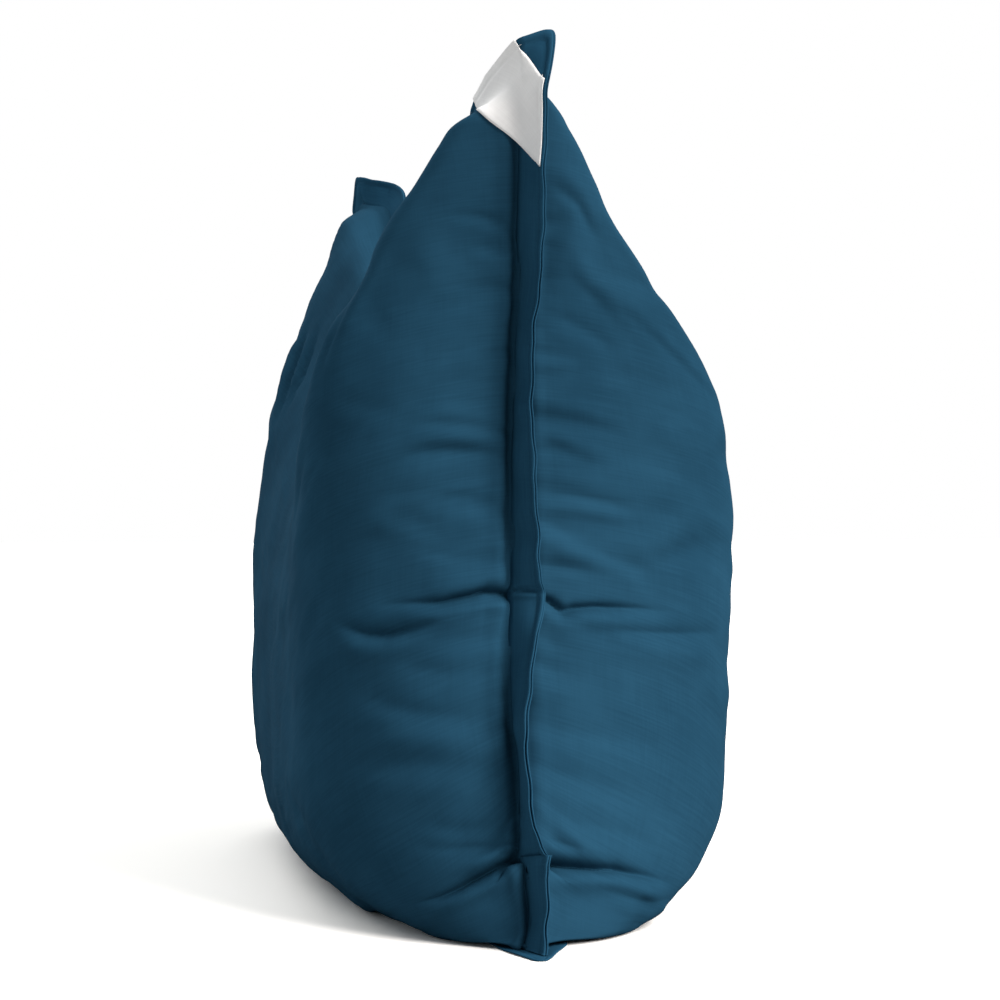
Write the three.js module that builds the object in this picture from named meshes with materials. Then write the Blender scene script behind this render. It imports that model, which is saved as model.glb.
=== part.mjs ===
import * as THREE from "three";

// A giant bean bag: two flat panels sewn together, filled, and stood on one long edge.
// X runs across the bag, Y along it with the labelled end at -Y, and Z up from the floor. Millimetres.

// The cover as it is cut, flat
const cutLength = 1740;
const cutHeight = 1310;
const flangeWidth = 45;
const flangeThickness = 3;
const rootGap = 2.2;
const pieceGap = 0.4;
const seamLength = cutLength - 2 * flangeWidth;
const seamHeight = cutHeight - 2 * flangeWidth;
const halfLength = seamLength / 2;

// Where the seam lies across the bag: a little left of the middle, because the filling is uneven
const seamAcross = -35;
const middleAlong = -22;
const farEarLean = -40;
const farEarDrop = 32;
const farEarReach = 150;

// The lower flange is folded flat under the bag, in a shallow tunnel in its underside
const tunnelHeight = 3.5;
const tunnelLeft = 56;
const tunnelRight = 10;

// Threads that run along a panel, from the bottom seam to the top seam.
//   share: height up the flat panel; endAlong, endUp: where it meets the near end seam
//   middleUp: its height half way along; out: its largest distance from the seam plane
//   valley: how far it first bulges past the end seam, degrees; bendFrom, bendTo: where it turns to run along
//   heading: its direction past the bend, over 90 when it closes in; sagStart, sagPower: how it comes down
//   uneven: how much fuller the right side is than the left; farShare: how full the far end is beside the near one
const threads = [
  { share: 0.0, endAlong: -742, endUp: 0, middleUp: 0, out: 0, valley: 0, bendFrom: -1, bendTo: 0,
    heading: 90, sagStart: 1, sagPower: 1, uneven: 0, farShare: 1 },
  { share: 0.048, endAlong: -718, endUp: 35, middleUp: 0, out: 83, valley: 4, bendFrom: 19, bendTo: 302,
    heading: 90, sagStart: 1, sagPower: 12, uneven: 0.19, farShare: 1 },
  { share: 0.164, endAlong: -693, endUp: 156, middleUp: 0, out: 173, valley: 2, bendFrom: 119, bendTo: 348,
    heading: 90, sagStart: 1, sagPower: 4.6, uneven: 0.16, farShare: 1 },
  { share: 0.295, endAlong: -628, endUp: 325, middleUp: 75, out: 288, valley: 12, bendFrom: 0, bendTo: 430,
    heading: 90, sagStart: 1.4, sagPower: 3, uneven: 0.12, farShare: 1 },
  { share: 0.475, endAlong: -606, endUp: 540, middleUp: 330, out: 308, valley: 12, bendFrom: 0, bendTo: 450,
    heading: 90, sagStart: 1.6, sagPower: 2, uneven: 0.12, farShare: 1 },
  { share: 0.735, endAlong: -645, endUp: 838, middleUp: 620, out: 262, valley: 8, bendFrom: 150, bendTo: 430,
    heading: 100, sagStart: 1.8, sagPower: 2, uneven: 0.03, farShare: 0.86 },
  { share: 0.88, endAlong: -688, endUp: 992, middleUp: 755, out: 134, valley: 3, bendFrom: 100, bendTo: 200,
    heading: 95, sagStart: 2, sagPower: 2, uneven: -0.06, farShare: 0.9 },
  { share: 0.965, endAlong: -704, endUp: 1084, middleUp: 832, out: 56, valley: 0, bendFrom: 25, bendTo: 70,
    heading: 91, sagStart: 1.6, sagPower: 2, uneven: -0.12, farShare: 1 },
  { share: 1.0, endAlong: -714, endUp: 1122, middleUp: 862, out: 0, valley: 0, bendFrom: -1, bendTo: 0,
    heading: 90, sagStart: 1, sagPower: 1.9, uneven: 0, farShare: 1 },
];

// How far the near end's flange leans over to the right, degrees, at heights above the floor
const flangeWaves = [
  { up: 0, lean: 8 },
  { up: 60, lean: 26 },
  { up: 110, lean: 36 },
  { up: 150, lean: 24 },
  { up: 210, lean: 4 },
  { up: 260, lean: 5 },
  { up: 330, lean: 21 },
  { up: 400, lean: 34 },
  { up: 450, lean: 36 },
  { up: 510, lean: 34 },
  { up: 590, lean: 23 },
  { up: 710, lean: 19 },
  { up: 830, lean: 24 },
  { up: 920, lean: 30 },
  { up: 1130, lean: 31 },
];
const farWaveShare = 0.5;

// The lower flange's outline on the floor, from the bottom seam's end: across it and outwards along the bag
const floorCorner = [
  { across: 0, outward: 0 },
  { across: 30, outward: 32 },
  { across: 8, outward: 64 },
  { across: -28, outward: 38 },
  { across: -45, outward: 2 },
];

// The bare label: a band sewn slantwise across the top corner of the left panel
const labelStart = 52;
const labelEnd = 164;
const labelThickness = 1.2;
const labelMargin = 4;
const labelStandOff = 2.55;
const labelAlongSteps = 18;
const labelAcrossSteps = 6;

const threadPaces = 165;
const alongSteps = 44;
const upSteps = 30;
const crowdingAtEnds = 0.1;
const crowdingAtSeams = 0.03;
const tunnelShares = [0, 0.036, 0.0405];
const farTaper = 1.6;
const surfaceStep = 0.004;
const left = -1;
const right = 1;

function degrees(angle) {
  return (angle * Math.PI) / 180;
}

function softStep(value) {
  const x = Math.min(1, Math.max(0, value));
  return x * x * (3 - 2 * x);
}

// The route of one thread over half the bag, walked in short paces and scaled to its stated reach
function walkThread(thread) {
  const pace = halfLength / threadPaces;
  const route = [{ out: 0, along: 0 }];
  let out = 0;
  let along = 0;
  let widest = 1e-6;
  for (let i = 0; i < threadPaces; i += 1) {
    const walked = (i + 0.5) * pace;
    const turned = softStep((walked - thread.bendFrom) / (thread.bendTo - thread.bendFrom));
    const heading = degrees(-thread.valley + (thread.heading + thread.valley) * turned);
    out += Math.cos(heading) * pace;
    along += Math.sin(heading) * pace;
    widest = Math.max(widest, out);
    route.push({ out, along });
  }
  const stretch = (middleAlong - thread.endAlong) / along;
  return route.map((point) => ({
    out: (thread.out * point.out) / widest,
    along: thread.endAlong + point.along * stretch,
  }));
}

// One thread at a distance from the near or far end seam, given as a share of half the length
function threadPoint(thread, shareIn) {
  const route = thread.route;
  const place = shareIn * (route.length - 1);
  const before = Math.min(route.length - 2, Math.floor(place));
  const part = place - before;
  const fall = Math.pow(1 - Math.pow(shareIn, thread.sagStart), thread.sagPower);
  return {
    out: THREE.MathUtils.lerp(route[before].out, route[before + 1].out, part),
    along: THREE.MathUtils.lerp(route[before].along, route[before + 1].along, part),
    up: thread.middleUp + (thread.endUp - thread.middleUp) * fall,
  };
}

// A curve through values at the threads' shares that never overshoots them
function smoothThrough(values, share) {
  const last = threads.length - 1;
  let k = 0;
  while (k < last - 1 && share > threads[k + 1].share) k += 1;
  const slopeOf = (i) => (values[i + 1] - values[i]) / (threads[i + 1].share - threads[i].share);
  const tangentAt = (i) => {
    if (i === 0) return slopeOf(0);
    if (i === last) return slopeOf(last - 1);
    const a = slopeOf(i - 1);
    const b = slopeOf(i);
    if (a * b <= 0) return 0;
    const wa = threads[i].share - threads[i - 1].share;
    const wb = threads[i + 1].share - threads[i].share;
    return (wa + wb) / ((wa * 2 + wb) / (3 * b) + (wa + wb * 2) / (3 * a));
  };
  const width = threads[k + 1].share - threads[k].share;
  const x = (share - threads[k].share) / width;
  const m0 = tangentAt(k) * width;
  const m1 = tangentAt(k + 1) * width;
  const x2 = x * x;
  const x3 = x2 * x;
  return (2 * x3 - 3 * x2 + 1) * values[k] + (x3 - 2 * x2 + x) * m0 +
    (3 * x2 - 2 * x3) * values[k + 1] + (x3 - x2) * m1;
}

// The thread at any height up the panel, with its route; each height is worked out once
const threadsByShare = new Map();
function threadAt(share) {
  if (!threadsByShare.has(share)) {
    const thread = {};
    for (const column of Object.keys(threads[0])) {
      thread[column] = smoothThrough(threads.map((row) => row[column]), share);
    }
    thread.route = walkThread(thread);
    threadsByShare.set(share, thread);
  }
  return threadsByShare.get(share);
}

// The far ear flops over to the left and down; this is how much of that a point of the panel shares
function farEarFlop(lengthShare, heightShare) {
  const fromEnd = (1 - lengthShare) * seamLength;
  const fromTop = (1 - heightShare) * seamHeight;
  const away = Math.hypot(fromEnd, fromTop) / farEarReach;
  return Math.exp(-away * away);
}

// A point of the filled cover, from its place on the flat panel
function coverPoint(lengthShare, heightShare, side) {
  const near = lengthShare <= 0.5;
  const shareIn = 2 * (near ? lengthShare : 1 - lengthShare);
  const thread = threadAt(heightShare);
  const { out, along, up } = threadPoint(thread, shareIn);
  const towardsFar = near ? 0 : softStep((1 - shareIn) * farTaper);
  const fullness = (1 + side * thread.uneven) * THREE.MathUtils.lerp(1, thread.farShare, towardsFar);
  const flop = farEarFlop(lengthShare, heightShare);
  const x = seamAcross + farEarLean * flop + side * out * fullness;
  const y = near ? along : 2 * middleAlong - along;
  return new THREE.Vector3(x, y, liftedOverFlange(x, up - farEarDrop * flop));
}

// The underside stays just above the folded flange and is flat on the floor beside it
function liftedOverFlange(x, up) {
  const overFlange = x > seamAcross - tunnelLeft && x < seamAcross + tunnelRight;
  return overFlange ? Math.max(up, tunnelHeight) : Math.max(up, 0);
}

// Steps along the panel, closer together towards both ends
function lengthShareAt(i) {
  const even = i / alongSteps;
  return even - crowdingAtEnds * Math.sin(2 * Math.PI * even);
}

// Steps up the panel; the first two mark the flange's tunnel
function heightShareAt(j) {
  if (j < tunnelShares.length) return tunnelShares[j];
  const first = tunnelShares[tunnelShares.length - 1];
  const tunnelSteps = tunnelShares.length - 1;
  const even = (j - tunnelSteps) / (upSteps - tunnelSteps);
  return first + (1 - first) * (even + crowdingAtSeams * Math.sin(2 * Math.PI * even));
}

function solid(name, positions, faces, material) {
  const geometry = new THREE.BufferGeometry();
  geometry.setAttribute("position", new THREE.Float32BufferAttribute(positions.flatMap((p) => p.toArray()), 3));
  geometry.setIndex(faces.flat());
  geometry.computeVertexNormals();
  const mesh = new THREE.Mesh(geometry, material);
  mesh.name = name;
  return mesh;
}

// The filled cover: a left and a right panel that share the seam round their border
function makeBody(material) {
  const positions = [];
  const faces = [];
  const grid = { [left]: [], [right]: [] };
  for (const side of [left, right]) {
    for (let i = 0; i <= alongSteps; i += 1) {
      grid[side].push([]);
      for (let j = 0; j <= upSteps; j += 1) {
        const onSeam = i === 0 || i === alongSteps || j === 0 || j === upSteps;
        if (side === right && onSeam) {
          grid[right][i].push(grid[left][i][j]);
          continue;
        }
        grid[side][i].push(positions.length);
        positions.push(coverPoint(lengthShareAt(i), heightShareAt(j), side));
      }
    }
    for (let i = 0; i < alongSteps; i += 1) {
      for (let j = 0; j < upSteps; j += 1) {
        const a = grid[side][i][j];
        const b = grid[side][i + 1][j];
        const c = grid[side][i + 1][j + 1];
        const d = grid[side][i][j + 1];
        if (side === right) faces.push([a, b, c], [a, c, d]);
        else faces.push([a, c, b], [a, d, c]);
      }
    }
  }
  return solid("bag_body", positions, faces, material);
}

// The flange's direction away from the seam, square to the seam's own direction
function squareTo(direction, tangent) {
  return direction.clone().addScaledVector(tangent, -direction.dot(tangent)).normalize();
}

function waveLean(up) {
  let k = 0;
  while (k < flangeWaves.length - 2 && up > flangeWaves[k + 1].up) k += 1;
  const part = softStep((up - flangeWaves[k].up) / (flangeWaves[k + 1].up - flangeWaves[k].up));
  return degrees(THREE.MathUtils.lerp(flangeWaves[k].lean, flangeWaves[k + 1].lean, part));
}

// Which way the flange of an end seam stands; end is -1 for the near end and 1 for the far end
function endDirection(end, up) {
  const lean = waveLean(up) * (end < 0 ? 1 : -farWaveShare);
  return new THREE.Vector3(Math.sin(lean), end * Math.cos(lean), 0);
}

// The corner square of an ear points outwards and up, along the flanges of both its seams
function earDirection(end, root, afterRoot) {
  const alongTop = afterRoot.clone().sub(root).normalize();
  const upright = squareTo(new THREE.Vector3(0, 0, 1), alongTop);
  const sideways = endDirection(end, root.z);
  return sideways.add(upright).normalize().multiplyScalar(Math.SQRT2);
}

// Stations round the upper flange: up the near end, along the top and down the far end
function upperFlangeStations() {
  const route = [];
  for (let j = 0; j <= upSteps; j += 1) route.push({ i: 0, j });
  for (let i = 1; i < alongSteps; i += 1) route.push({ i, j: upSteps });
  for (let j = upSteps; j >= 0; j -= 1) route.push({ i: alongSteps, j });
  const roots = route.map(({ i, j }) => coverPoint(lengthShareAt(i), heightShareAt(j), left));
  return route.map(({ i, j }, k) => {
    const root = roots[k];
    const before = roots[Math.max(0, k - 1)];
    const after = roots[Math.min(roots.length - 1, k + 1)];
    const tangent = after.clone().sub(before).normalize();
    const end = i === 0 ? -1 : 1;
    const ear = j === upSteps && (i === 0 || i === alongSteps);
    const onTop = j === upSteps && !ear;
    let direction;
    if (ear) direction = earDirection(end, root, end < 0 ? after : before);
    else if (onTop) direction = squareTo(new THREE.Vector3(0, 0, 1), tangent);
    else direction = squareTo(endDirection(end, root.z), tangent);
    const thickness = tangent.clone().cross(direction).normalize();
    return { root, direction, thickness };
  });
}

// A flange: a strip whose long sides are joined from station to station and closed at both ends
function makeUpperFlange(material) {
  const positions = [];
  const faces = [];
  const stations = upperFlangeStations();
  stations.forEach(({ root, direction, thickness }, k) => {
    const inner = root.clone().addScaledVector(direction, rootGap);
    const outer = root.clone().addScaledVector(direction, flangeWidth);
    const half = flangeThickness / 2;
    const lift = k === 0 || k === stations.length - 1 ? flangeThickness + pieceGap : 0;
    for (const [point, side] of [[inner, -1], [outer, -1], [outer, 1], [inner, 1]]) {
      const corner = point.clone().addScaledVector(thickness, side * half);
      corner.z = Math.max(corner.z, lift);
      positions.push(corner);
    }
    if (k === 0) return;
    for (let n = 0; n < 4; n += 1) {
      const a = (k - 1) * 4 + n;
      const b = (k - 1) * 4 + ((n + 1) % 4);
      faces.push([a, b, b + 4], [a, b + 4, a + 4]);
    }
  });
  const last = (stations.length - 1) * 4;
  faces.push([0, 2, 1], [0, 3, 2], [last, last + 1, last + 2], [last, last + 2, last + 3]);
  return solid("upper_flange", positions, faces, material);
}

// The lower flange lies flat on the floor under the bag, with a corner square beyond each end of the seam
function makeLowerFlange(material) {
  const nearEnd = threads[0].endAlong;
  const farEnd = 2 * middleAlong - nearEnd;
  const shape = new THREE.Shape();
  floorCorner.forEach(({ across, outward }, k) => {
    const x = seamAcross + across;
    if (k === 0) shape.moveTo(x, nearEnd - outward);
    else shape.lineTo(x, nearEnd - outward);
  });
  for (const { across, outward } of [...floorCorner].reverse()) {
    shape.lineTo(seamAcross + across, farEnd + outward);
  }
  shape.closePath();
  const geometry = new THREE.ExtrudeGeometry(shape, { depth: flangeThickness, bevelEnabled: false });
  const mesh = new THREE.Mesh(geometry, material);
  mesh.name = "lower_flange";
  return mesh;
}

// A point of the left side of the near top corner, from its distances to the cut edges
function cornerPoint(fromEndEdge, fromTopEdge) {
  const insideEnd = Math.max(0, fromEndEdge - flangeWidth);
  const insideTop = Math.max(0, fromTopEdge - flangeWidth);
  const lengthShare = insideEnd / seamLength;
  const heightShare = 1 - insideTop / seamHeight;
  const point = coverPoint(lengthShare, heightShare, left);
  const pastEnd = Math.max(0, flangeWidth - fromEndEdge);
  const pastTop = Math.max(0, flangeWidth - fromTopEdge);
  if (pastEnd === 0 && pastTop === 0) return point;
  const below = coverPoint(0, heightShare - surfaceStep, left);
  const beyond = coverPoint(lengthShare + surfaceStep, 1, left);
  const downEnd = squareTo(endDirection(-1, point.z), point.clone().sub(below).normalize());
  const upTop = squareTo(new THREE.Vector3(0, 0, 1), beyond.clone().sub(point).normalize());
  if (pastTop === 0) return point.addScaledVector(downEnd, pastEnd);
  if (pastEnd === 0) return point.addScaledVector(upTop, pastTop);
  const inBoth = Math.min(pastEnd, pastTop);
  point.addScaledVector(earDirection(-1, point, beyond), inBoth);
  return point.addScaledVector(downEnd, pastEnd - inBoth).addScaledVector(upTop, pastTop - inBoth);
}

// The label's middle line follows the corner and its two faces stand off it
function makeLabel(material) {
  const middle = [];
  for (let p = 0; p <= labelAlongSteps; p += 1) {
    middle.push([]);
    for (let q = 0; q <= labelAcrossSteps; q += 1) {
      const sum = labelStart + ((labelEnd - labelStart) * q) / labelAcrossSteps;
      const fromEnd = labelMargin + ((sum - 2 * labelMargin) * p) / labelAlongSteps;
      middle[p].push(cornerPoint(fromEnd, sum - fromEnd));
    }
  }
  const positions = [];
  const index = (p, q, face) => (p * (labelAcrossSteps + 1) + q) * 2 + face;
  for (let p = 0; p <= labelAlongSteps; p += 1) {
    for (let q = 0; q <= labelAcrossSteps; q += 1) {
      const alongLabel = middle[Math.min(labelAlongSteps, p + 1)][q].clone().sub(middle[Math.max(0, p - 1)][q]);
      const acrossLabel = middle[p][Math.min(labelAcrossSteps, q + 1)].clone()
        .sub(middle[p][Math.max(0, q - 1)]);
      const outward = alongLabel.cross(acrossLabel).normalize();
      positions.push(middle[p][q].clone().addScaledVector(outward, labelStandOff));
      positions.push(middle[p][q].clone().addScaledVector(outward, labelStandOff + labelThickness));
    }
  }
  const faces = [];
  const quad = (a, b, c, d) => faces.push([a, c, b], [a, d, c]);
  for (let p = 0; p < labelAlongSteps; p += 1) {
    for (let q = 0; q < labelAcrossSteps; q += 1) {
      quad(index(p, q, 0), index(p + 1, q, 0), index(p + 1, q + 1, 0), index(p, q + 1, 0));
      quad(index(p, q, 1), index(p, q + 1, 1), index(p + 1, q + 1, 1), index(p + 1, q, 1));
    }
    quad(index(p, 0, 0), index(p, 0, 1), index(p + 1, 0, 1), index(p + 1, 0, 0));
    const q = labelAcrossSteps;
    quad(index(p, q, 0), index(p + 1, q, 0), index(p + 1, q, 1), index(p, q, 1));
  }
  for (let q = 0; q < labelAcrossSteps; q += 1) {
    const p = labelAlongSteps;
    quad(index(0, q, 0), index(0, q + 1, 0), index(0, q + 1, 1), index(0, q, 1));
    quad(index(p, q, 0), index(p, q, 1), index(p, q + 1, 1), index(p, q + 1, 0));
  }
  return solid("corner_label", positions, faces, material);
}

const coverCloth = new THREE.MeshStandardMaterial({ color: 0x2f5871, roughness: 0.85, metalness: 0 });
const flangeCloth = new THREE.MeshStandardMaterial({ color: 0x1e425a, roughness: 0.85, metalness: 0 });
const labelSatin = new THREE.MeshStandardMaterial({ color: 0xd5d6d4, roughness: 0.5, metalness: 0 });

const bag = new THREE.Group();
bag.add(makeBody(coverCloth));
bag.add(makeUpperFlange(flangeCloth));
bag.add(makeLowerFlange(flangeCloth.clone()));
bag.add(makeLabel(labelSatin));

// The origin is the middle of the bag's footprint, on the floor
const footprint = new THREE.Box3().setFromObject(bag);
const middle = footprint.getCenter(new THREE.Vector3());
for (const piece of bag.children) {
  piece.geometry.translate(-middle.x, -middle.y, -footprint.min.z);
}

export default bag;
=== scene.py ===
import math
import bpy
import bmesh
import numpy as np
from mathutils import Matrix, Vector


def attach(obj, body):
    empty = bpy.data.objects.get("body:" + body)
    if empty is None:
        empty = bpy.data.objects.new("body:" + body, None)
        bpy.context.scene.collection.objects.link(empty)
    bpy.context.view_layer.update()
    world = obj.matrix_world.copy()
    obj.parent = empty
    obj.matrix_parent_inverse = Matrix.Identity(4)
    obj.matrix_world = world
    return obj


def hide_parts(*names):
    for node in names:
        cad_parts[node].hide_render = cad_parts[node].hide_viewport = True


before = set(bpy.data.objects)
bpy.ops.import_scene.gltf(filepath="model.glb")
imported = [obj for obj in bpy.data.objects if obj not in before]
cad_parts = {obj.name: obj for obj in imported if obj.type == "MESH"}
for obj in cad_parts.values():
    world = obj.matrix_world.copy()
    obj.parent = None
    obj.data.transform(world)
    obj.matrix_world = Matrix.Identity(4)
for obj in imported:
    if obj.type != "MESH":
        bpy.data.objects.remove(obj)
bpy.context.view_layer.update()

# The cover's flat cut and how it stands; metres, the near (labelled) end at -Y
bag = {
    "seamLength": 1.65,
    "seamHeight": 1.22,
    "seamAcross": -0.037,
    "farEarLean": -0.04,
    "farEarDrop": 0.016,
    "farEarLift": 0.020,
    "farEarReach": 0.085,
    "farLiftPlace": 0.11,
    "farLiftAlong": 0.07,
    "farLiftDown": 0.10,
    "farTaper": 1.6,
    "tunnelHeight": 0.0035,
    "tunnelLeft": 0.056,
    "tunnelRight": 0.071,
    "paces": 165,
    "middleRound": 0.12,
    "rightStart": 0.5,
    "leftSlant": 30.0,
    "rightSlant": 24.0,
}

# Threads along a panel, from the bottom seam to the top one (angles in degrees)
threadColumns = ("share", "endAlong", "endUp", "middleUp", "out", "valley", "bendFrom", "bendTo",
                 "heading", "sagStart", "sagPower", "uneven", "farShare")
threads = [
    (0.0, -0.720, 0.0, 0.0, 0.0, 0, -0.001, 0.0, 90, 1.0, 1.0, 0.0, 1.0),
    (0.048, -0.696, 0.035, 0.0, 0.1165, 4, 0.050, 0.260, 90, 1.0, 12.0, 0.245, 1.0),
    (0.10, -0.685, 0.087, 0.0, 0.156, 4, 0.072, 0.293, 90, 1.0, 7.5, 0.231, 1.0),
    (0.164, -0.671, 0.156, 0.0, 0.197, 4, 0.100, 0.330, 90, 1.0, 4.6, 0.188, 1.0),
    (0.295, -0.606, 0.325, 0.062, 0.299, 14, 0.02, 0.410, 90, 1.4, 3.0, 0.142, 1.0),
    (0.475, -0.584, 0.540, 0.330, 0.313, 14, 0.04, 0.430, 90, 1.6, 2.0, 0.155, 1.0),
    (0.68, -0.611, 0.776, 0.565, 0.292, 12, 0.220, 0.390, 96, 1.75, 2.0, 0.10, 0.88),
    (0.735, -0.623, 0.838, 0.620, 0.263, 10, 0.240, 0.340, 98, 1.8, 2.0, 0.065, 0.86),
    (0.81, -0.645, 0.918, 0.690, 0.196, 6, 0.185, 0.265, 96, 1.85, 2.0, 0.01, 0.87),
    (0.88, -0.666, 0.992, 0.755, 0.133, 2, 0.115, 0.190, 95, 1.9, 2.0, -0.07, 0.88),
    (0.945, -0.679, 1.066, 0.814, 0.0765, 0, 0.045, 0.110, 92, 1.7, 2.1, -0.07, 1.0),
    (0.968, -0.684, 1.090, 0.834, 0.050, 0, 0.025, 0.085, 92, 1.5, 2.2, 0.08, 1.0),
    (0.988, -0.689, 1.110, 0.851, 0.028, 0, 0.010, 0.060, 90, 1.3, 2.4, 0.30, 1.0),
    (1.0, -0.692, 1.122, 0.862, 0.0, 0, -0.001, 0.0, 90, 1.2, 2.5, 0.0, 1.0),
]
leftSide, rightSide = -1, 1


def softStep(value):
    x = np.clip(value, 0.0, 1.0)
    return x * x * (3 - 2 * x)


def mix(a, b, part):
    return a + (b - a) * part


# A curve through a table's values that never overshoots them
def smoothThrough(knots, values, at):
    knots, values, at = np.asarray(knots, float), np.asarray(values, float), np.asarray(at, float)
    widths = np.diff(knots)
    slopes = np.diff(values) / widths
    tangents = np.zeros(len(knots))
    tangents[0], tangents[-1] = slopes[0], slopes[-1]
    for k in range(1, len(knots) - 1):
        a, b = slopes[k - 1], slopes[k]
        if a * b > 0:
            wa, wb = widths[k - 1], widths[k]
            tangents[k] = (wa + wb) / ((wa * 2 + wb) / (3 * b) + (wa + wb * 2) / (3 * a))
    k = np.clip(np.searchsorted(knots, at, side="right") - 1, 0, len(knots) - 2)
    w = widths[k]
    x = (at - knots[k]) / w
    return ((2 * x**3 - 3 * x**2 + 1) * values[k] + (x**3 - 2 * x**2 + x) * tangents[k] * w
            + (3 * x**2 - 2 * x**3) * values[k + 1] + (x**3 - x**2) * tangents[k + 1] * w)


def tableAt(table, at):
    return smoothThrough([row[0] for row in table], [row[1] for row in table], at)


def threadsAt(heightShares):
    shares = [row[0] for row in threads]
    return {name: smoothThrough(shares, [row[c] for row in threads], heightShares)
            for c, name in enumerate(threadColumns)}


# Points of the smooth filled form: one for each pair of a length share and a height share
def formPoints(lengthShares, heightShares, side):
    lengthShares = np.asarray(lengthShares, float)
    heightShares = np.asarray(heightShares, float)
    t = {name: column[:, None] for name, column in threadsAt(heightShares).items()}
    pace = bag["seamLength"] / 2 / bag["paces"]
    walked = (np.arange(bag["paces"]) + 0.5) * pace
    turned = softStep((walked[None] - t["bendFrom"]) / (t["bendTo"] - t["bendFrom"]))
    start = -t["valley"] if side == leftSide else t["valley"] * bag["rightStart"]
    slant = bag["leftSlant"] if side == leftSide else bag["rightSlant"]
    sidestep = np.clip(walked[None] * 2 / (t["bendFrom"] + t["bendTo"] + 1e-6), 0, 1)
    face = start + (slant - start) * sidestep
    heading = np.radians(face + (t["heading"] - face) * turned)
    atEnd = np.zeros((len(heightShares), 1))
    out = np.concatenate([atEnd, np.cumsum(np.cos(heading), axis=1) * pace], axis=1)
    along = np.concatenate([atEnd, np.cumsum(np.sin(heading), axis=1) * pace], axis=1)
    out *= t["out"] / np.maximum(out.max(axis=1, keepdims=True), 1e-6)
    along = t["endAlong"] - t["endAlong"] * along / along[:, -1:]
    near = lengthShares <= 0.5
    shareIn = 2 * np.where(near, lengthShares, 1 - lengthShares)
    # Rounds off the turn at the middle of the bag, where its two halves meet
    fromMiddle = 1 - shareIn
    rounded = 1 - fromMiddle - (np.sqrt(fromMiddle**2 + bag["middleRound"] ** 2) - fromMiddle) * shareIn**2

    def read(route, place):
        before = np.minimum(bag["paces"] - 1, place.astype(int))
        return mix(route[:, before], route[:, before + 1], (place - before)[None])

    outHere = read(out, rounded * bag["paces"])
    alongHere = read(along, shareIn * bag["paces"])
    fall = np.power(np.clip(1 - np.power(rounded[None], t["sagStart"]), 0, 1), t["sagPower"])
    up = t["middleUp"] + (t["endUp"] - t["middleUp"]) * fall
    towardsFar = np.where(near, 0.0, softStep((1 - shareIn) * bag["farTaper"]))[None]
    fullness = (1 + side * t["uneven"]) * mix(1.0, t["farShare"], towardsFar)
    fromEnd = (1 - lengthShares)[None] * bag["seamLength"]
    fromTop = (1 - heightShares)[:, None] * bag["seamHeight"]
    flop = np.exp(-(fromEnd**2 + fromTop**2) / bag["farEarReach"] ** 2)
    x = bag["seamAcross"] + bag["farEarLean"] * flop + side * outHere * fullness
    y = np.where(near[None], alongHere, -alongHere)
    z = up - bag["farEarDrop"] * flop
    liftAway = (((fromEnd - bag["farLiftPlace"]) / bag["farLiftAlong"]) ** 2
                + (fromTop / bag["farLiftDown"]) ** 2)
    z = z + bag["farEarLift"] * np.exp(-liftAway)
    overFlange = (x > bag["seamAcross"] - bag["tunnelLeft"]) & (x < bag["seamAcross"] + bag["tunnelRight"])
    z = np.maximum(z, np.where(overFlange, bag["tunnelHeight"], 0.0))
    return np.stack([x, y, z], axis=2).transpose(1, 0, 2)


# The near seam sways a little across the bag: height share and metres to the right
seamSway = [(0.0, 0.001), (0.07, 0.011), (0.105, 0.007), (0.122, 0.006), (0.148, 0.003), (0.232, 0.007),
            (0.283, 0.004), (0.338, 0.005), (0.403, 0.009), (0.503, 0.010), (0.618, 0.009), (0.732, 0.009),
            (0.852, 0.006), (0.934, 0.004), (1.0, 0.003)]
swayReach = 0.11

# The near ear is turned to the left, so the top seam leaves it sideways before it runs back: metres in
# from the end and to the left. Close to its corner the two panels lie flat against each other
earTurn = {"path": [(0.0, 0.0), (0.05, 0.017), (0.10, 0.033), (0.16, 0.048), (0.22, 0.052), (0.32, 0.034),
                    (0.45, 0.010), (0.60, 0.0), (1.65, 0.0)],
           "leftReach": 0.06, "rightReach": 0.025, "leftFlat": 0.050, "rightFlat": 0.018, "puff": 0.42,
           "puffWay": (0.78, 0.62, 0.0)}

# Where the bottom end is tucked under: the seam doubles back on itself there
tuck = {"heightShare": 0.127, "halfWidth": 0.0085, "overlap": 0.0075, "forward": 0.007, "reach": 0.05,
        "steepness": 1.6, "ease": 4, "floorFrom": -0.01, "floorFade": 0.06}


def swayed(points, lengthShares, heightShares, side):
    inFromEnd = np.asarray(lengthShares) * bag["seamLength"]
    reach = np.exp(-(inFromEnd / swayReach) ** 2)[:, None]
    sway = tableAt(seamSway, heightShares)
    moved = points.copy()
    moved[..., 0] += reach * sway[None]
    turned = tableAt(earTurn["path"], inFromEnd)
    fromTop = ((1 - np.asarray(heightShares)) * bag["seamHeight"])[None]
    reach = earTurn["leftReach"] if side == leftSide else earTurn["rightReach"]
    moved[..., 0] -= turned[:, None] * np.exp(-((fromTop / reach) ** 2))
    pace = (np.asarray(heightShares) - tuck["heightShare"]) * bag["seamHeight"] / tuck["halfWidth"]
    close = np.exp(-(inFromEnd / tuck["reach"]) ** 2)[:, None]
    moved[..., 2] -= close * (tuck["overlap"] * pace * np.exp(-pace**2 / 2))[None] * tuck["steepness"]
    offFloor = softStep((np.asarray(heightShares) - tuck["floorFrom"]) / tuck["floorFade"])
    moved[..., 1] -= close * (tuck["forward"] * (1 - softStep(pace / tuck["ease"] + 0.5)) * offFloor)[None]
    return moved


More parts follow.
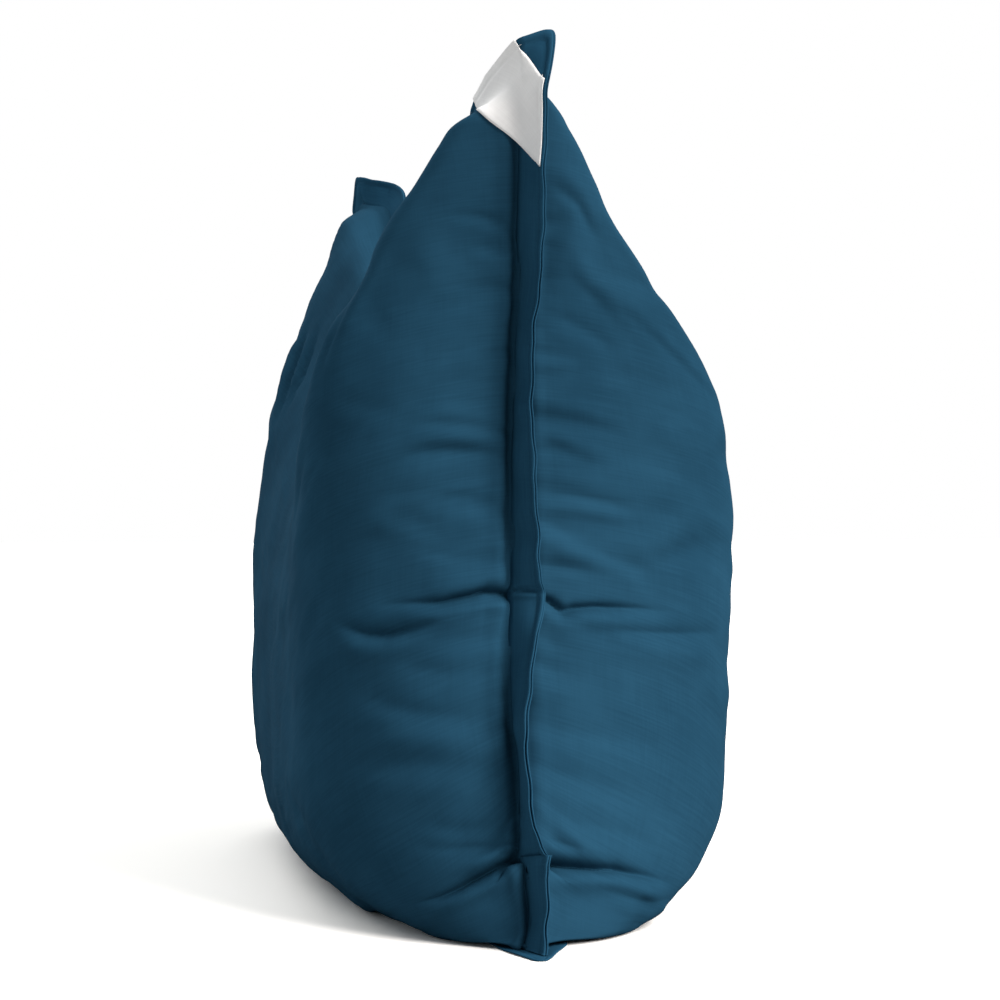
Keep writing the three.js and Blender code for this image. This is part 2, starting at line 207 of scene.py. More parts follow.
def formGrid(lengthShares, heightShares, side):
    def placed(us, vs):
        return swayed(formPoints(us, vs, side), us, vs, side)

    points = placed(lengthShares, heightShares)
    flat = placed([0.0], heightShares) + placed(lengthShares, [1.0]) - placed([0.0], [1.0])
    u = (np.asarray(lengthShares) * bag["seamLength"])[:, None]
    v = ((1 - np.asarray(heightShares)) * bag["seamHeight"])[None]
    puff = earTurn["puff"] * u * v / (u + v + 0.001)
    flat = flat + side * puff[..., None] * np.array(earTurn["puffWay"])
    reach = earTurn["leftFlat"] if side == leftSide else earTurn["rightFlat"]
    return mix(points, flat, np.exp(-((u**2 + v**2) / reach**2))[..., None])


# Both panels as one closed mesh with a shared seam; grids[side] is [along, up, xyz]
def closedMesh(name, grids, lengthShares, heightShares):
    nAlong, nUp = len(lengthShares), len(heightShares)
    index = {side: -np.ones((nAlong, nUp), int) for side in (leftSide, rightSide)}
    verts = []
    for side in (leftSide, rightSide):
        for i in range(nAlong):
            for j in range(nUp):
                onSeam = i in (0, nAlong - 1) or j in (0, nUp - 1)
                if side == rightSide and onSeam:
                    index[side][i, j] = index[leftSide][i, j]
                    continue
                index[side][i, j] = len(verts)
                verts.append(grids[side][i, j])
    faces, cuts = [], []
    for side in (leftSide, rightSide):
        k = index[side]
        for i in range(nAlong - 1):
            for j in range(nUp - 1):
                quad = [(i, j), (i + 1, j), (i + 1, j + 1), (i, j + 1)]
                if side == leftSide:
                    quad.reverse()
                faces.append([int(k[q]) for q in quad])
                cuts.append([(lengthShares[a] * bag["seamLength"] + (2.0 if side == rightSide else 0.0),
                              heightShares[b] * bag["seamHeight"]) for a, b in quad])
    mesh = bpy.data.meshes.new(name)
    mesh.from_pydata([tuple(v) for v in verts], [], faces)
    uv = mesh.uv_layers.new(name="flatCut")
    uv.data.foreach_set("uv", np.array(cuts, float).ravel())
    mesh.polygons.foreach_set("use_smooth", [True] * len(faces))
    mesh.update()
    return mesh, index


def addObject(name, data):
    piece = bpy.data.objects.new(name, data)
    bpy.context.scene.collection.objects.link(piece)
    return piece


# A short cloth run lets the flat cut's spare width fall into folds; the seam is held
clothRun = {"alongCells": 104, "upCells": 76, "frames": 26, "pressure": 2.2, "tension": 30.0, "bending": 0.6,
            "shear": 12.0, "compression": 9.0, "mass": 0.25, "quality": 6, "cap": 0.020, "floorReach": 0.004,
            "wrinkleCells": 3, "keepBroad": 0.05, "endHold": 0.006}


def runCloth():
    nAlong, nUp = clothRun["alongCells"], clothRun["upCells"]
    lengthShares, heightShares = np.linspace(0, 1, nAlong + 1), np.linspace(0, 1, nUp + 1)
    grids = {side: formGrid(lengthShares, heightShares, side) for side in (leftSide, rightSide)}
    mesh, index = closedMesh("clothTrial", grids, lengthShares, heightShares)
    trial = addObject("clothTrial", mesh)
    trial.shape_key_add(name="Basis")
    cut = trial.shape_key_add(name="flatCut")
    for side in (leftSide, rightSide):
        for i in range(nAlong + 1):
            for j in range(nUp + 1):
                cut.data[int(index[side][i, j])].co = (0, (lengthShares[i] - 0.5) * bag["seamLength"],
                                                       heightShares[j] * bag["seamHeight"])
    held = trial.vertex_groups.new(name="held")
    ring = sorted({int(index[leftSide][i, j]) for i in range(nAlong + 1) for j in range(nUp + 1)
                   if i in (0, nAlong) or j in (0, nUp)})
    held.add(ring, 1.0, "REPLACE")
    floorBound = [int(index[s][i, j]) for s in (leftSide, rightSide) for i in range(nAlong + 1)
                  for j in range(nUp + 1) if grids[s][i, j, 2] < clothRun["floorReach"]]
    held.add(sorted(set(floorBound) - set(ring)), 1.0, "REPLACE")
    cloth = trial.modifiers.new("cloth", "CLOTH")
    cloth.settings.quality = clothRun["quality"]
    cloth.settings.mass = clothRun["mass"]
    cloth.settings.tension_stiffness = clothRun["tension"]
    cloth.settings.compression_stiffness = clothRun["compression"]
    cloth.settings.shear_stiffness = clothRun["shear"]
    cloth.settings.bending_stiffness = clothRun["bending"]
    cloth.settings.use_pressure = True
    cloth.settings.uniform_pressure_force = clothRun["pressure"]
    cloth.settings.vertex_group_mass = "held"
    cloth.settings.rest_shape_key = cut
    cloth.settings.effector_weights.gravity = 0.0
    cloth.collision_settings.use_collision = False
    scene = bpy.context.scene
    scene.frame_start, scene.frame_end = 1, clothRun["frames"]
    cloth.point_cache.frame_start, cloth.point_cache.frame_end = 1, clothRun["frames"]
    for step in range(1, clothRun["frames"] + 1):
        scene.frame_set(step)
    evaluated = trial.evaluated_get(bpy.context.evaluated_depsgraph_get())
    settled = np.array([v.co[:] for v in evaluated.to_mesh().vertices])
    evaluated.to_mesh_clear()
    moves = {}
    for side in (leftSide, rightSide):
        move = settled[index[side]] - grids[side]
        size = np.linalg.norm(move, axis=2, keepdims=True)
        moves[side] = move * np.tanh(size / clothRun["cap"]) * clothRun["cap"] / np.maximum(size, 1e-9)
    bpy.data.objects.remove(trial, do_unlink=True)
    scene.frame_set(1)
    print("cloth run: largest move", round(float(max(np.abs(m).max() for m in moves.values())), 4))
    return moves


# Values of an even grid at uneven shares, along one axis, with a smooth spline
def splined(grid, shares, axis):
    last = grid.shape[axis] - 1
    place = np.asarray(shares) * last
    i = np.minimum(place.astype(int), last - 1)
    t = (place - i).reshape([-1 if a == axis else 1 for a in range(grid.ndim)])
    knots = [np.take(grid, np.clip(i + k, 0, last), axis=axis) for k in (-1, 0, 1, 2)]
    weights = [(1 - t) ** 3, 3 * t**3 - 6 * t**2 + 4, -3 * t**3 + 3 * t**2 + 3 * t + 1, t**3]
    return sum(w * knot for w, knot in zip(weights, knots)) / 6


def sampled(grid, lengthShares, heightShares):
    return splined(splined(grid, lengthShares, 0), heightShares, 1)


# Keeps the wrinkles of the cloth run and drops most of its broad change of form
def wrinklesOnly(move, cells, keepBroad):
    reach = np.arange(-3 * cells, 3 * cells + 1)
    weights = np.exp(-0.5 * (reach / cells) ** 2)
    weights /= weights.sum()
    broad = move.copy()
    for axis in (0, 1):
        pad = [(0, 0)] * 3
        pad[axis] = (3 * cells, 3 * cells)
        wide = np.pad(broad, pad)
        broad = sum(w * np.take(wide, np.arange(broad.shape[axis]) + k, axis=axis)
                    for k, w in enumerate(weights))
    return move - (1 - keepBroad) * broad


# The ears are pulled tight by their seams, so the cloth run moves them least
tightEars = {"reach": 0.30, "hold": 0.92}


def earSlack(lengthShares, heightShares):
    fromTop = ((1 - np.asarray(heightShares)) * bag["seamHeight"])[None]
    slack = 1.0
    for fromEnd in (np.asarray(lengthShares), 1 - np.asarray(lengthShares)):
        away = np.hypot((fromEnd * bag["seamLength"])[:, None], fromTop)
        slack = slack * (1 - tightEars["hold"] * np.exp(-(away / tightEars["reach"]) ** 2))
    return slack


# Folds given one by one: the panel, the line in metres on it (in from the near end seam, up from the bottom
# seam), then depth, width, lip height, the lip's distance from the line and where the fold fades
waistLeft = [(0.0, 0.484), (0.019, 0.489), (0.037, 0.494), (0.054, 0.492), (0.087, 0.492), (0.133, 0.503),
             (0.175, 0.512)]
waistRight = [(0.0, 0.487), (0.031, 0.480), (0.045, 0.468), (0.057, 0.475), (0.082, 0.483), (0.137, 0.494),
              (0.175, 0.500)]
tuckLeft = [(0.020, 0.170), (0.050, 0.182), (0.092, 0.190), (0.143, 0.194), (0.200, 0.205)]
tuckRight = [(0.0, 0.150), (0.020, 0.162), (0.050, 0.182), (0.078, 0.199), (0.120, 0.220), (0.167, 0.229),
             (0.235, 0.234)]
folds = [
    # The waist crease on both sides of the flange, and the pair of shorter ones beyond it
    (leftSide, waistLeft, 0.0165, 0.0044, 0.0065, -0.016, "out"),
    (rightSide, waistRight, 0.0155, 0.0044, 0.0065, -0.016, "out"),
    (leftSide, [(0.225, 0.506), (0.213, 0.501), (0.179, 0.483), (0.151, 0.473), (0.121, 0.469),
                (0.090, 0.468)], 0.0135, 0.0050, 0.0058, 0.017, "both"),
    (rightSide, [(0.090, 0.458), (0.113, 0.461), (0.155, 0.471), (0.195, 0.482), (0.250, 0.500)],
     0.0085, 0.0070, 0.0045, -0.020, "both"),
    # The bottom tuck
    (leftSide, [(0.010, 0.163)] + tuckLeft, 0.0205, 0.0050, 0.0085, -0.020, "out"),
    (rightSide, tuckRight, 0.0205, 0.0050, 0.0085, -0.020, "out"),
    (leftSide, [(0.0, 0.158), (0.012, 0.172), (0.031, 0.188), (0.055, 0.205)],
     0.0075, 0.0050, 0.003, 0.014, "out"),
    (leftSide, [(0.0, 0.181), (0.040, 0.206), (0.076, 0.227), (0.132, 0.253), (0.165, 0.270)],
     0.0095, 0.0052, 0.0045, -0.017, "out"),
    (leftSide, [(0.040, 0.232), (0.085, 0.250), (0.130, 0.272)], 0.0050, 0.0060, 0.003, -0.016, "both"),
    (rightSide, [(0.030, 0.203), (0.045, 0.210), (0.070, 0.218)], 0.0080, 0.0070, 0.004, 0.018, "both"),
    (rightSide, [(0.040, 0.236), (0.090, 0.250), (0.160, 0.262)], 0.0045, 0.0090, 0.003, 0.020, "both"),
    # The second lips of the tuck and of the left waist crease
    (leftSide, [(0.0, 0.157)] + tuckLeft, 0.0040, 0.0030, 0.0080, 0.022, "out"),
    (rightSide, tuckRight, 0.0040, 0.0030, 0.0080, 0.022, "out"),
    (leftSide, waistLeft[:-1], 0.0020, 0.0030, 0.0050, 0.018, "out"),
    # Creases across the two faces, from the top down
    (leftSide, [(0.100, 1.026), (0.058, 1.018), (0.023, 1.002), (0.006, 0.985)],
     0.0042, 0.0055, 0.0026, 0.014, "both"),
    (leftSide, [(0.075, 0.976), (0.034, 0.968), (0.004, 0.966)], 0.0038, 0.0050, 0.0024, 0.013, "both"),
    (leftSide, [(0.094, 0.916), (0.045, 0.918), (0.004, 0.906)], 0.0030, 0.0090, 0.0018, -0.020, "both"),
    (leftSide, [(0.255, 0.975), (0.265, 0.955), (0.289, 0.897), (0.300, 0.850)],
     0.0060, 0.0090, 0.0030, 0.022, "both"),
    (leftSide, [(1.350, 1.000), (1.334, 0.984), (1.286, 0.942), (1.248, 0.899), (1.230, 0.860)],
     0.0160, 0.0080, 0.0080, 0.024, "both"),
    (leftSide, [(1.300, 1.020), (1.240, 0.950), (1.200, 0.880)], 0.0120, 0.0080, 0.0060, 0.024, "both"),
    (leftSide, [(0.150, 0.697), (0.117, 0.698), (0.085, 0.693), (0.047, 0.684), (0.010, 0.675)],
     0.0070, 0.0075, 0.0050, -0.020, "both"),
    (leftSide, [(0.010, 0.605), (0.093, 0.637), (0.165, 0.651)], 0.0040, 0.0085, 0.0025, -0.020, "both"),
    (leftSide, [(0.006, 0.529), (0.077, 0.546), (0.144, 0.583)], 0.0036, 0.0085, 0.0022, 0.020, "both"),
    (leftSide, [(0.011, 0.391), (0.073, 0.401), (0.134, 0.436)], 0.0040, 0.0085, 0.0025, 0.020, "both"),
    (leftSide, [(0.190, 0.422), (0.144, 0.394), (0.114, 0.374), (0.055, 0.342), (0.005, 0.333)],
     0.0070, 0.0085, 0.0045, 0.021, "both"),
    (leftSide, [(0.012, 0.316), (0.102, 0.356), (0.184, 0.382)], 0.0044, 0.0075, 0.0026, -0.018, "both"),
    (leftSide, [(0.203, 0.351), (0.119, 0.323), (0.060, 0.295), (0.018, 0.278)],
     0.0042, 0.0075, 0.0026, 0.018, "both"),
    (rightSide, [(0.047, 1.065), (0.096, 1.045), (0.129, 1.002)], 0.0036, 0.0100, 0.0024, 0.022, "both"),
    (rightSide, [(0.059, 0.951), (0.120, 0.904), (0.150, 0.880)], 0.0020, 0.0120, 0.0014, 0.024, "both"),
    (rightSide, [(0.030, 0.880), (0.064, 0.873), (0.128, 0.850)], 0.0034, 0.0100, 0.0022, -0.022, "both"),
    (rightSide, [(0.012, 0.621), (0.030, 0.623), (0.062, 0.625), (0.096, 0.623), (0.130, 0.618)],
     0.0055, 0.0065, 0.0034, -0.017, "both"),
    (rightSide, [(0.018, 0.590), (0.060, 0.562), (0.093, 0.548), (0.150, 0.540)],
     0.0044, 0.0085, 0.0026, -0.020, "both"),
    (rightSide, [(0.010, 0.325), (0.058, 0.326), (0.100, 0.332), (0.150, 0.345)],
     0.0052, 0.0085, 0.0034, -0.020, "both"),
]

# Smaller gathers that run in from both end seams, and loose creases on the panels; metres and seeded
gathers = {"seed": 11, "perSeam": 22, "heights": (0.20, 1.02), "jitter": 0.014, "depth": (0.0012, 0.0048),
           "width": (0.006, 0.013), "length": (0.05, 0.20), "slope": 0.30, "bow": 0.012, "tightAbove": 0.75,
           "tight": 0.45, "lip": 0.7, "lipAway": 1.9}
creases = {"count": 46, "fromEnds": 0.05, "heights": (0.16, 0.98), "length": (0.07, 0.24), "turn": 0.6,
           "depth": (0.0014, 0.0034), "width": (0.008, 0.018), "wobble": 0.008, "lip": 0.7, "lipAway": 1.8}


def gatherFolds(side):
    random = np.random.RandomState(gathers["seed"] + side)
    made = []
    for end in (0, 1):
        shifts = random.uniform(-gathers["jitter"], gathers["jitter"], gathers["perSeam"])
        for v in np.linspace(*gathers["heights"], gathers["perSeam"]) + shifts:
            length, slope = random.uniform(*gathers["length"]), random.uniform(-1, 1) * gathers["slope"]
            depth, width = random.uniform(*gathers["depth"]), random.uniform(*gathers["width"])
            slack = 1.0 if v < gathers["tightAbove"] else gathers["tight"]
            bow = random.uniform(-gathers["bow"], gathers["bow"])
            line = [(length * k / 4, v + slope * length * k / 4 + bow * math.sin(math.pi * k / 4))
                    for k in range(5)]
            if end:
                line = [(bag["seamLength"] - u, h) for u, h in line]
            lipOffset = random.choice([-1, 1]) * width * gathers["lipAway"]
            made.append((side, line, depth * slack, width, depth * slack * gathers["lip"], lipOffset, "out"))
    for k in range(creases["count"]):
        u = random.uniform(creases["fromEnds"], bag["seamLength"] - creases["fromEnds"])
        v = random.uniform(*creases["heights"])
        length, turn = random.uniform(*creases["length"]), random.uniform(-creases["turn"], creases["turn"])
        depth, width = random.uniform(*creases["depth"]), random.uniform(*creases["width"])
        line = [(u + length * (k / 3 - 0.5) * math.cos(turn), v + length * (k / 3 - 0.5) * math.sin(turn)
                 + random.uniform(-creases["wobble"], creases["wobble"])) for k in range(4)]
        lipOffset = random.choice([-1, 1]) * width * creases["lipAway"]
        made.append((side, line, depth, width, depth * creases["lip"], lipOffset, "both"))
    return made


unevenness = {"seed": 5, "layers": [(22, 34, 0.0022), (34, 70, 0.0011), (90, 120, 0.0004)],
              "floorFrom": 0.04, "floorFade": 0.16, "earFrom": 0.75, "earFade": 0.2, "earLess": 0.5}
# How a fold's groove and lip are shaped, as shares of its own measures, and where the end seams hold it
foldShape = {"fadeFrom": 0.35, "endShare": 0.02, "swell": 0.7, "edge": 1.5, "tailShare": 0.25,
             "tailWidth": 2.6, "lipWidth": 0.75, "seamHold": 0.013, "grooveHold": 0.003}
# The panels dip where the end flanges stand on them, and swell beside the dip: place, reach and size
seamGroove = [(0.0065, 0.0055, -0.0065), (0.022, 0.009, 0.0030)]


def runAlong(line):
    return np.concatenate([[0], np.cumsum(np.linalg.norm(np.diff(line, axis=0), axis=1))])


def foldMoves(lengthShares, heightShares, side):
    u = (np.asarray(lengthShares) * bag["seamLength"])[:, None] + np.zeros((1, len(heightShares)))
    v = (np.asarray(heightShares) * bag["seamHeight"])[None] + np.zeros((len(lengthShares), 1))
    total = np.zeros_like(u)
    for foldSide, line, depth, width, lip, lipOffset, fade in folds + gatherFolds(side):
        if foldSide != side:
            continue
        line = np.array(line)
        run = runAlong(line)
        run = run / run[-1]
        nearest = np.full(u.shape, 1e9)
        signed, place = np.zeros_like(u), np.zeros_like(u)
        for k in range(len(line) - 1):
            a, ab = line[k], line[k + 1] - line[k]
            t = np.clip(((u - a[0]) * ab[0] + (v - a[1]) * ab[1]) / (ab @ ab), 0, 1)
            du, dv = u - (a[0] + ab[0] * t), v - (a[1] + ab[1] * t)
            away = np.hypot(du, dv)
            closer = away < nearest
            nearest = np.where(closer, away, nearest)
            signed = np.where(closer, np.sign(ab[0] * dv - ab[1] * du) * away, signed)
            place = np.where(closer, run[k] + (run[k + 1] - run[k]) * t, place)
        if fade == "out":
            strength = 1 - softStep((place - foldShape["fadeFrom"]) / (1 - foldShape["fadeFrom"]))
        else:
            inside = np.clip(place, foldShape["endShare"], 1 - foldShape["endShare"])
            strength = np.sin(np.pi * inside) ** foldShape["swell"]
        core = np.exp(-(nearest / width) ** foldShape["edge"])
        tail = np.exp(-(nearest / (width * foldShape["tailWidth"])) ** 2)
        groove = depth * ((1 - foldShape["tailShare"]) * core + foldShape["tailShare"] * tail)
        lipHere = lip * np.exp(-((signed - lipOffset) / (abs(lipOffset) * foldShape["lipWidth"])) ** 2)
        total += strength * (lipHere - groove)
    # Low, wandering unevenness of the loosely filled panels, drawn out along them
    random = np.random.RandomState(unevenness["seed"] + side)
    nearEar = softStep((v - unevenness["earFrom"]) / unevenness["earFade"])
    settled = softStep((v - unevenness["floorFrom"]) / unevenness["floorFade"])
    settled = settled * (1 - unevenness["earLess"] * nearEar)
    for alongCount, upCount, size in unevenness["layers"]:
        bumps = random.normal(size=(alongCount, upCount))
        total += size * settled * sampled(bumps, lengthShares, heightShares)
    inFromEnd = np.minimum(u, bag["seamLength"] - u)
    total = total * softStep(inFromEnd / foldShape["seamHold"])
    belowEars = softStep((bag["seamHeight"] - v) / flange["earReach"])
    offSeam = softStep(inFromEnd / foldShape["grooveHold"])
    for place, reach, size in seamGroove:
        total += size * np.exp(-(((inFromEnd - place) / reach) ** 2)) * offSeam * belowEars
    return total


def surfaceNormals(grid, side):
    along = np.gradient(grid, axis=0)
    up = np.gradient(grid, axis=1)
    normal = side * np.cross(along, up)
    return normal / np.maximum(np.linalg.norm(normal, axis=2, keepdims=True), 1e-12)


# Where the mesh lines stand closer: (share, how much closer, reach)
bodyMesh = {"alongCells": 166, "upCells": 298, "floorGap": 0.0005, "fineSteps": 4001,
            "alongCrowding": [(0.0, 3.6, 0.09), (0.15, 1.6, 0.08), (1.0, 1.2, 0.05), (0.83, 0.8, 0.07)],
            "upCrowding": [(0.0, 0.8, 0.03), (0.16, 2.4, 0.055), (0.40, 2.4, 0.030), (0.95, 0.5, 0.06),
                           (1.0, 0.6, 0.02)]}


def crowdedShares(cells, crowding):
    fine = np.linspace(0, 1, bodyMesh["fineSteps"])
    closeness = 1 + sum(more * np.exp(-((fine - share) / reach) ** 2) for share, more, reach in crowding)
    total = np.concatenate([[0], np.cumsum((closeness[1:] + closeness[:-1]) / 2)])
    return np.interp(np.linspace(0, 1, cells + 1), total / total[-1], fine)


def bodyShares():
    return (crowdedShares(bodyMesh["alongCells"], bodyMesh["alongCrowding"]),
            crowdedShares(bodyMesh["upCells"], bodyMesh["upCrowding"]))


# One panel's points with its wrinkles and folds
def panelGrid(moves, lengthShares, heightShares, side):
    grid = formGrid(lengthShares, heightShares, side)
    if moves:
        wrinkles = wrinklesOnly(moves[side], clothRun["wrinkleCells"], clothRun["keepBroad"])
        wrinkles = sampled(wrinkles, lengthShares, heightShares)
        fromNear, fromFar = np.asarray(lengthShares), 1 - np.asarray(lengthShares)
        held = softStep(fromNear / clothRun["endHold"]) * softStep(fromFar / clothRun["endHold"])
        grid = grid + wrinkles * (earSlack(lengthShares, heightShares) * held[:, None])[..., None]
    grid = grid + surfaceNormals(grid, side) * foldMoves(lengthShares, heightShares, side)[..., None]
    grid[..., 2] = np.maximum(grid[..., 2], bodyMesh["floorGap"])
    return grid


def makeBody(moves):
    lengthShares, heightShares = bodyShares()
    grids = {side: panelGrid(moves, lengthShares, heightShares, side) for side in (leftSide, rightSide)}
    mesh, index = closedMesh("bagBody", grids, lengthShares, heightShares)
    body = addObject("bagBody", mesh)
    ring = set(index[leftSide][0].tolist() + index[leftSide][-1].tolist()
               + index[leftSide][:, 0].tolist() + index[leftSide][:, -1].tolist())
    ends = np.empty(len(mesh.edges) * 2, int)
    mesh.edges.foreach_get("vertices", ends)
    onRing = np.isin(ends, sorted(ring)).reshape(-1, 2).all(axis=1)
    mesh.attributes.new("sharp_edge", "BOOLEAN", "EDGE").data.foreach_set("value", onRing)
    return body


# The flange: the panels' joined margin outside the seam. leans are degrees to the right by height share
flange = {"width": 0.045, "rootInset": 0.010, "earInset": 0.003, "earReach": 0.13, "stitchIn": 0.0108,
          "stitchShare": 0.811, "faceHalf": 0.0032, "cornerRound": 6.5, "cornerSteps": 24, "step": 0.0027,
          "floorGap": 0.0034, "nearSquareReach": 0.09, "topSquare": 0.6, "topSquareReach": 0.05,
          "cutPlace": 0.02, "cutGap": 0.2, "waveSeed": 4,
          "nearEarTip": (0.040, -0.012, 0.060), "farEarTip": (-0.014, 0.020, 0.049),
          "waves": [(0.17, 0.0016), (0.071, 0.0009), (0.38, 0.0022)],
          "edgeWaves": [(0.11, 0.0014), (0.053, 0.0008)]}
nearLeans = [(0.0, 20), (0.03, 16), (0.099, 20), (0.113, 25), (0.1255, 38), (0.1275, 40), (0.14, 24),
             (0.157, 11), (0.177, 4), (0.204, 1), (0.231, 2), (0.264, 10), (0.296, 20), (0.325, 28),
             (0.353, 37), (0.382, 47), (0.397, 53), (0.41, 42), (0.439, 35), (0.459, 35), (0.506, 28),
             (0.522, 28), (0.568, 22), (0.622, 17), (0.648, 15), (0.714, 18), (0.8, 29), (0.897, 29),
             (0.95, 30), (0.98, 31), (1.0, 33)]
farLeans = [(0.0, 16), (0.1, -6), (0.2, -22), (0.32, -8), (0.45, 14), (0.6, 20), (0.75, 4), (0.88, -14),
            (0.95, -24), (1.0, -16)]
# Creases across the near flange where the bag folds: height share, size and reach in metres
pleats = [(0.3990, 0.0080, 0.0036), (0.1268, 0.0090, 0.0034), (0.170, 0.0024, 0.0080),
          (0.245, -0.0020, 0.0110), (0.62, 0.0020, 0.012)]
# Degrees to the right along the top seam, by length share
topLeans = [(0.0, -6), (0.015, -5), (0.045, -4), (0.065, 1), (0.08, 8), (0.12, 13), (0.18, 11), (0.26, 9),
            (0.34, 9), (0.46, -7), (0.58, 10), (0.70, -9), (0.82, 5), (0.90, 20), (0.95, 24), (0.98, 8),
            (1.0, -6)]
# Half the flange's thickness from its root to the folded free edge: share of the width and metres
flangeSection = [(0.0, 0.0014), (0.195, 0.0015), (0.284, 0.0021), (0.409, 0.0029), (0.553, 0.003),
                 (0.696, 0.0023), (0.776, 0.0011), (0.81, 0.0004), (0.843, 0.0013), (0.888, 0.0028),
                 (0.933, 0.0034), (0.965, 0.0033), (0.988, 0.0029), (1.0, 0.0022)]
edgeGroove = [(0.996, 0.0013), (0.965, 0.0009), (0.905, 0.0005)]


def leanAt(table, shares):
    return np.radians(np.interp(shares, [row[0] for row in table], [row[1] for row in table]))


def unit(vectors):
    return vectors / np.maximum(np.linalg.norm(vectors, axis=-1, keepdims=True), 1e-12)


def squareTo(directions, tangents):
    return unit(directions - (directions * tangents).sum(axis=-1, keepdims=True) * tangents)


# Roots, outward directions and thickness directions along the upper flange, from the near bottom corner
# up the near end, along the top and down the far end
def flangeStations():
    nEnd = int(bag["seamHeight"] / flange["step"])
    nTop = int(bag["seamLength"] / flange["step"])
    up, along = np.linspace(0, 1, nEnd), np.linspace(0, 1, nTop)
    rows = []
    near = formGrid([0.0], up, leftSide)[0]
    nearPlain = formPoints([0.0], up, leftSide)[0]
    tangents = unit(np.gradient(nearPlain, axis=0))
    tangents[:3] = tangents[3]
    lean = leanAt(nearLeans, up)
    plain = np.stack([np.sin(lean), -np.cos(lean), 0 * lean], axis=1)
    outward = unit(mix(plain, squareTo(plain, tangents), softStep(up / flange["nearSquareReach"])[:, None]))
    rows.append(("near", near, outward, np.cross(tangents, outward), np.zeros((nEnd, 3))))
    top = formGrid(along, [1.0], leftSide)[:, 0]
    topTangents = unit(np.gradient(top, axis=0))
    lean = leanAt(topLeans, along)
    topPlain = np.stack([np.sin(lean), 0 * lean, np.cos(lean)], axis=1)
    squared = flange["topSquare"] * softStep(along / flange["topSquareReach"])[:, None]
    topOutward = unit(mix(topPlain, squareTo(topPlain, topTangents), squared))
    far = formGrid([1.0], up[::-1], leftSide)[0]
    farTangents = unit(np.gradient(formPoints([1.0], up[::-1], leftSide)[0], axis=0))
    farTangents[-3:] = farTangents[-4]
    lean = leanAt(farLeans, up[::-1])
    farOutward = squareTo(np.stack([np.sin(lean), np.cos(lean), 0 * lean], axis=1), farTangents)

    # A corner square turns from one flange's direction to the next, with a rounded tip pulled to its place
    def corner(root, first, second, thickFirst, thickSecond, tip):
        turn = np.linspace(0, 1, flange["cornerSteps"] + 2)[1:-1] * math.pi / 2
        power = flange["cornerRound"]
        reach = (np.cos(turn) ** power + np.sin(turn) ** power) ** (-1 / power)
        a, b = (np.cos(turn) * reach)[:, None], (np.sin(turn) * reach)[:, None]
        outwards = a * first + b * second
        part = (turn / (math.pi / 2))[:, None]
        pull = a * b * (np.array(tip) - flange["width"] * (first + second))
        thick = unit(mix(thickFirst, thickSecond, part))
        return np.repeat(root[None], len(turn), axis=0), outwards, thick, pull

    nearThick = np.cross(tangents[-1], outward[-1])
    topThick = np.cross(topTangents, topOutward)
    farThick = np.cross(farTangents, farOutward)
    rows.append(("nearEar",) + corner(near[-1], outward[-1], topOutward[0], nearThick, topThick[0],
                                      flange["nearEarTip"]))
    rows.append(("top", top[1:-1], topOutward[1:-1], topThick[1:-1], np.zeros((nTop - 2, 3))))
    rows.append(("farEar",) + corner(far[0], topOutward[-1], farOutward[0], topThick[-1], farThick[0],
                                     flange["farEarTip"]))
    rows.append(("far", far, farOutward, farThick, np.zeros((nEnd, 3))))
    names = np.concatenate([[row[0]] * len(row[1]) for row in rows])
    roots, outwards, thicks, pulls = (np.concatenate([row[k] for row in rows]) for k in (1, 2, 3, 4))
    ears = [roots[names == name][0] for name in ("nearEar", "farEar")]
    fromEars = np.min([np.linalg.norm(roots - ear, axis=1) for ear in ears], axis=0)
    insets = mix(flange["earInset"], flange["rootInset"], softStep(fromEars / flange["earReach"]))
    return names, roots, outwards, unit(thicks), pulls, insets


# A smooth wandering value along a strip, from a few sine waves with fixed phases
def wander(length, count, waves, seed):
    phases = np.random.RandomState(seed).uniform(0, 2 * math.pi, len(waves))
    s = np.linspace(0, length, count)
    return sum(size * np.sin(2 * math.pi * s / wave + phase) for (wave, size), phase in zip(waves, phases))


# How far the flange waves off its plane, at a share of its width
def flangeWave(bow, edgeBow, share):
    return bow * math.sin(math.pi * share) + edgeBow * share**2


def flangePoint(root, outward, thick, pull, insets, share, offset):
    reach = (flange["width"] + insets) * share - insets
    return root + outward * reach[:, None] + pull * share**2 + thick * offset[:, None]


def makeUpperFlange():
    stations = flangeStations()
    names, roots, outwards, thicks, pulls, insets = stations
    count = len(roots)
    length = bag["seamLength"] + 2 * bag["seamHeight"]
    bow = wander(length, count, flange["waves"], flange["waveSeed"])
    edgeBow = wander(length, count, flange["edgeWaves"], flange["waveSeed"] + 1)
    nearCount = int((names == "near").sum())
    for share, size, reach in pleats:
        away = (np.linspace(0, 1, nearCount) - share) * bag["seamHeight"] / reach
        bow[:nearCount] += size * away * np.exp(-away**2 / 2)
    oneSide = flangeSection + edgeGroove
    ring = oneSide + [(share, -half) for share, half in oneSide[::-1]]
    columns = []
    for share, half in ring:
        offset = half + flangeWave(bow, edgeBow, share)
        columns.append(flangePoint(roots, outwards, thicks, pulls, insets, share, offset))
    points = np.stack(columns, axis=1)
    points[..., 2] = np.maximum(points[..., 2], flange["floorGap"])
    run = runAlong(roots + outwards * flange["cutPlace"])
    across = [flange["width"] * share + (flange["cutGap"] if half < 0 else 0.0) for share, half in ring]
    cuts = np.array([[(run[k], place) for place in across] for k in range(count)]).reshape(-1, 2)
    piece = stripObject("upperFlange", points.reshape(-1, 3), tubeFaces(count, len(ring)), cuts)
    return piece, stations + (bow, edgeBow)


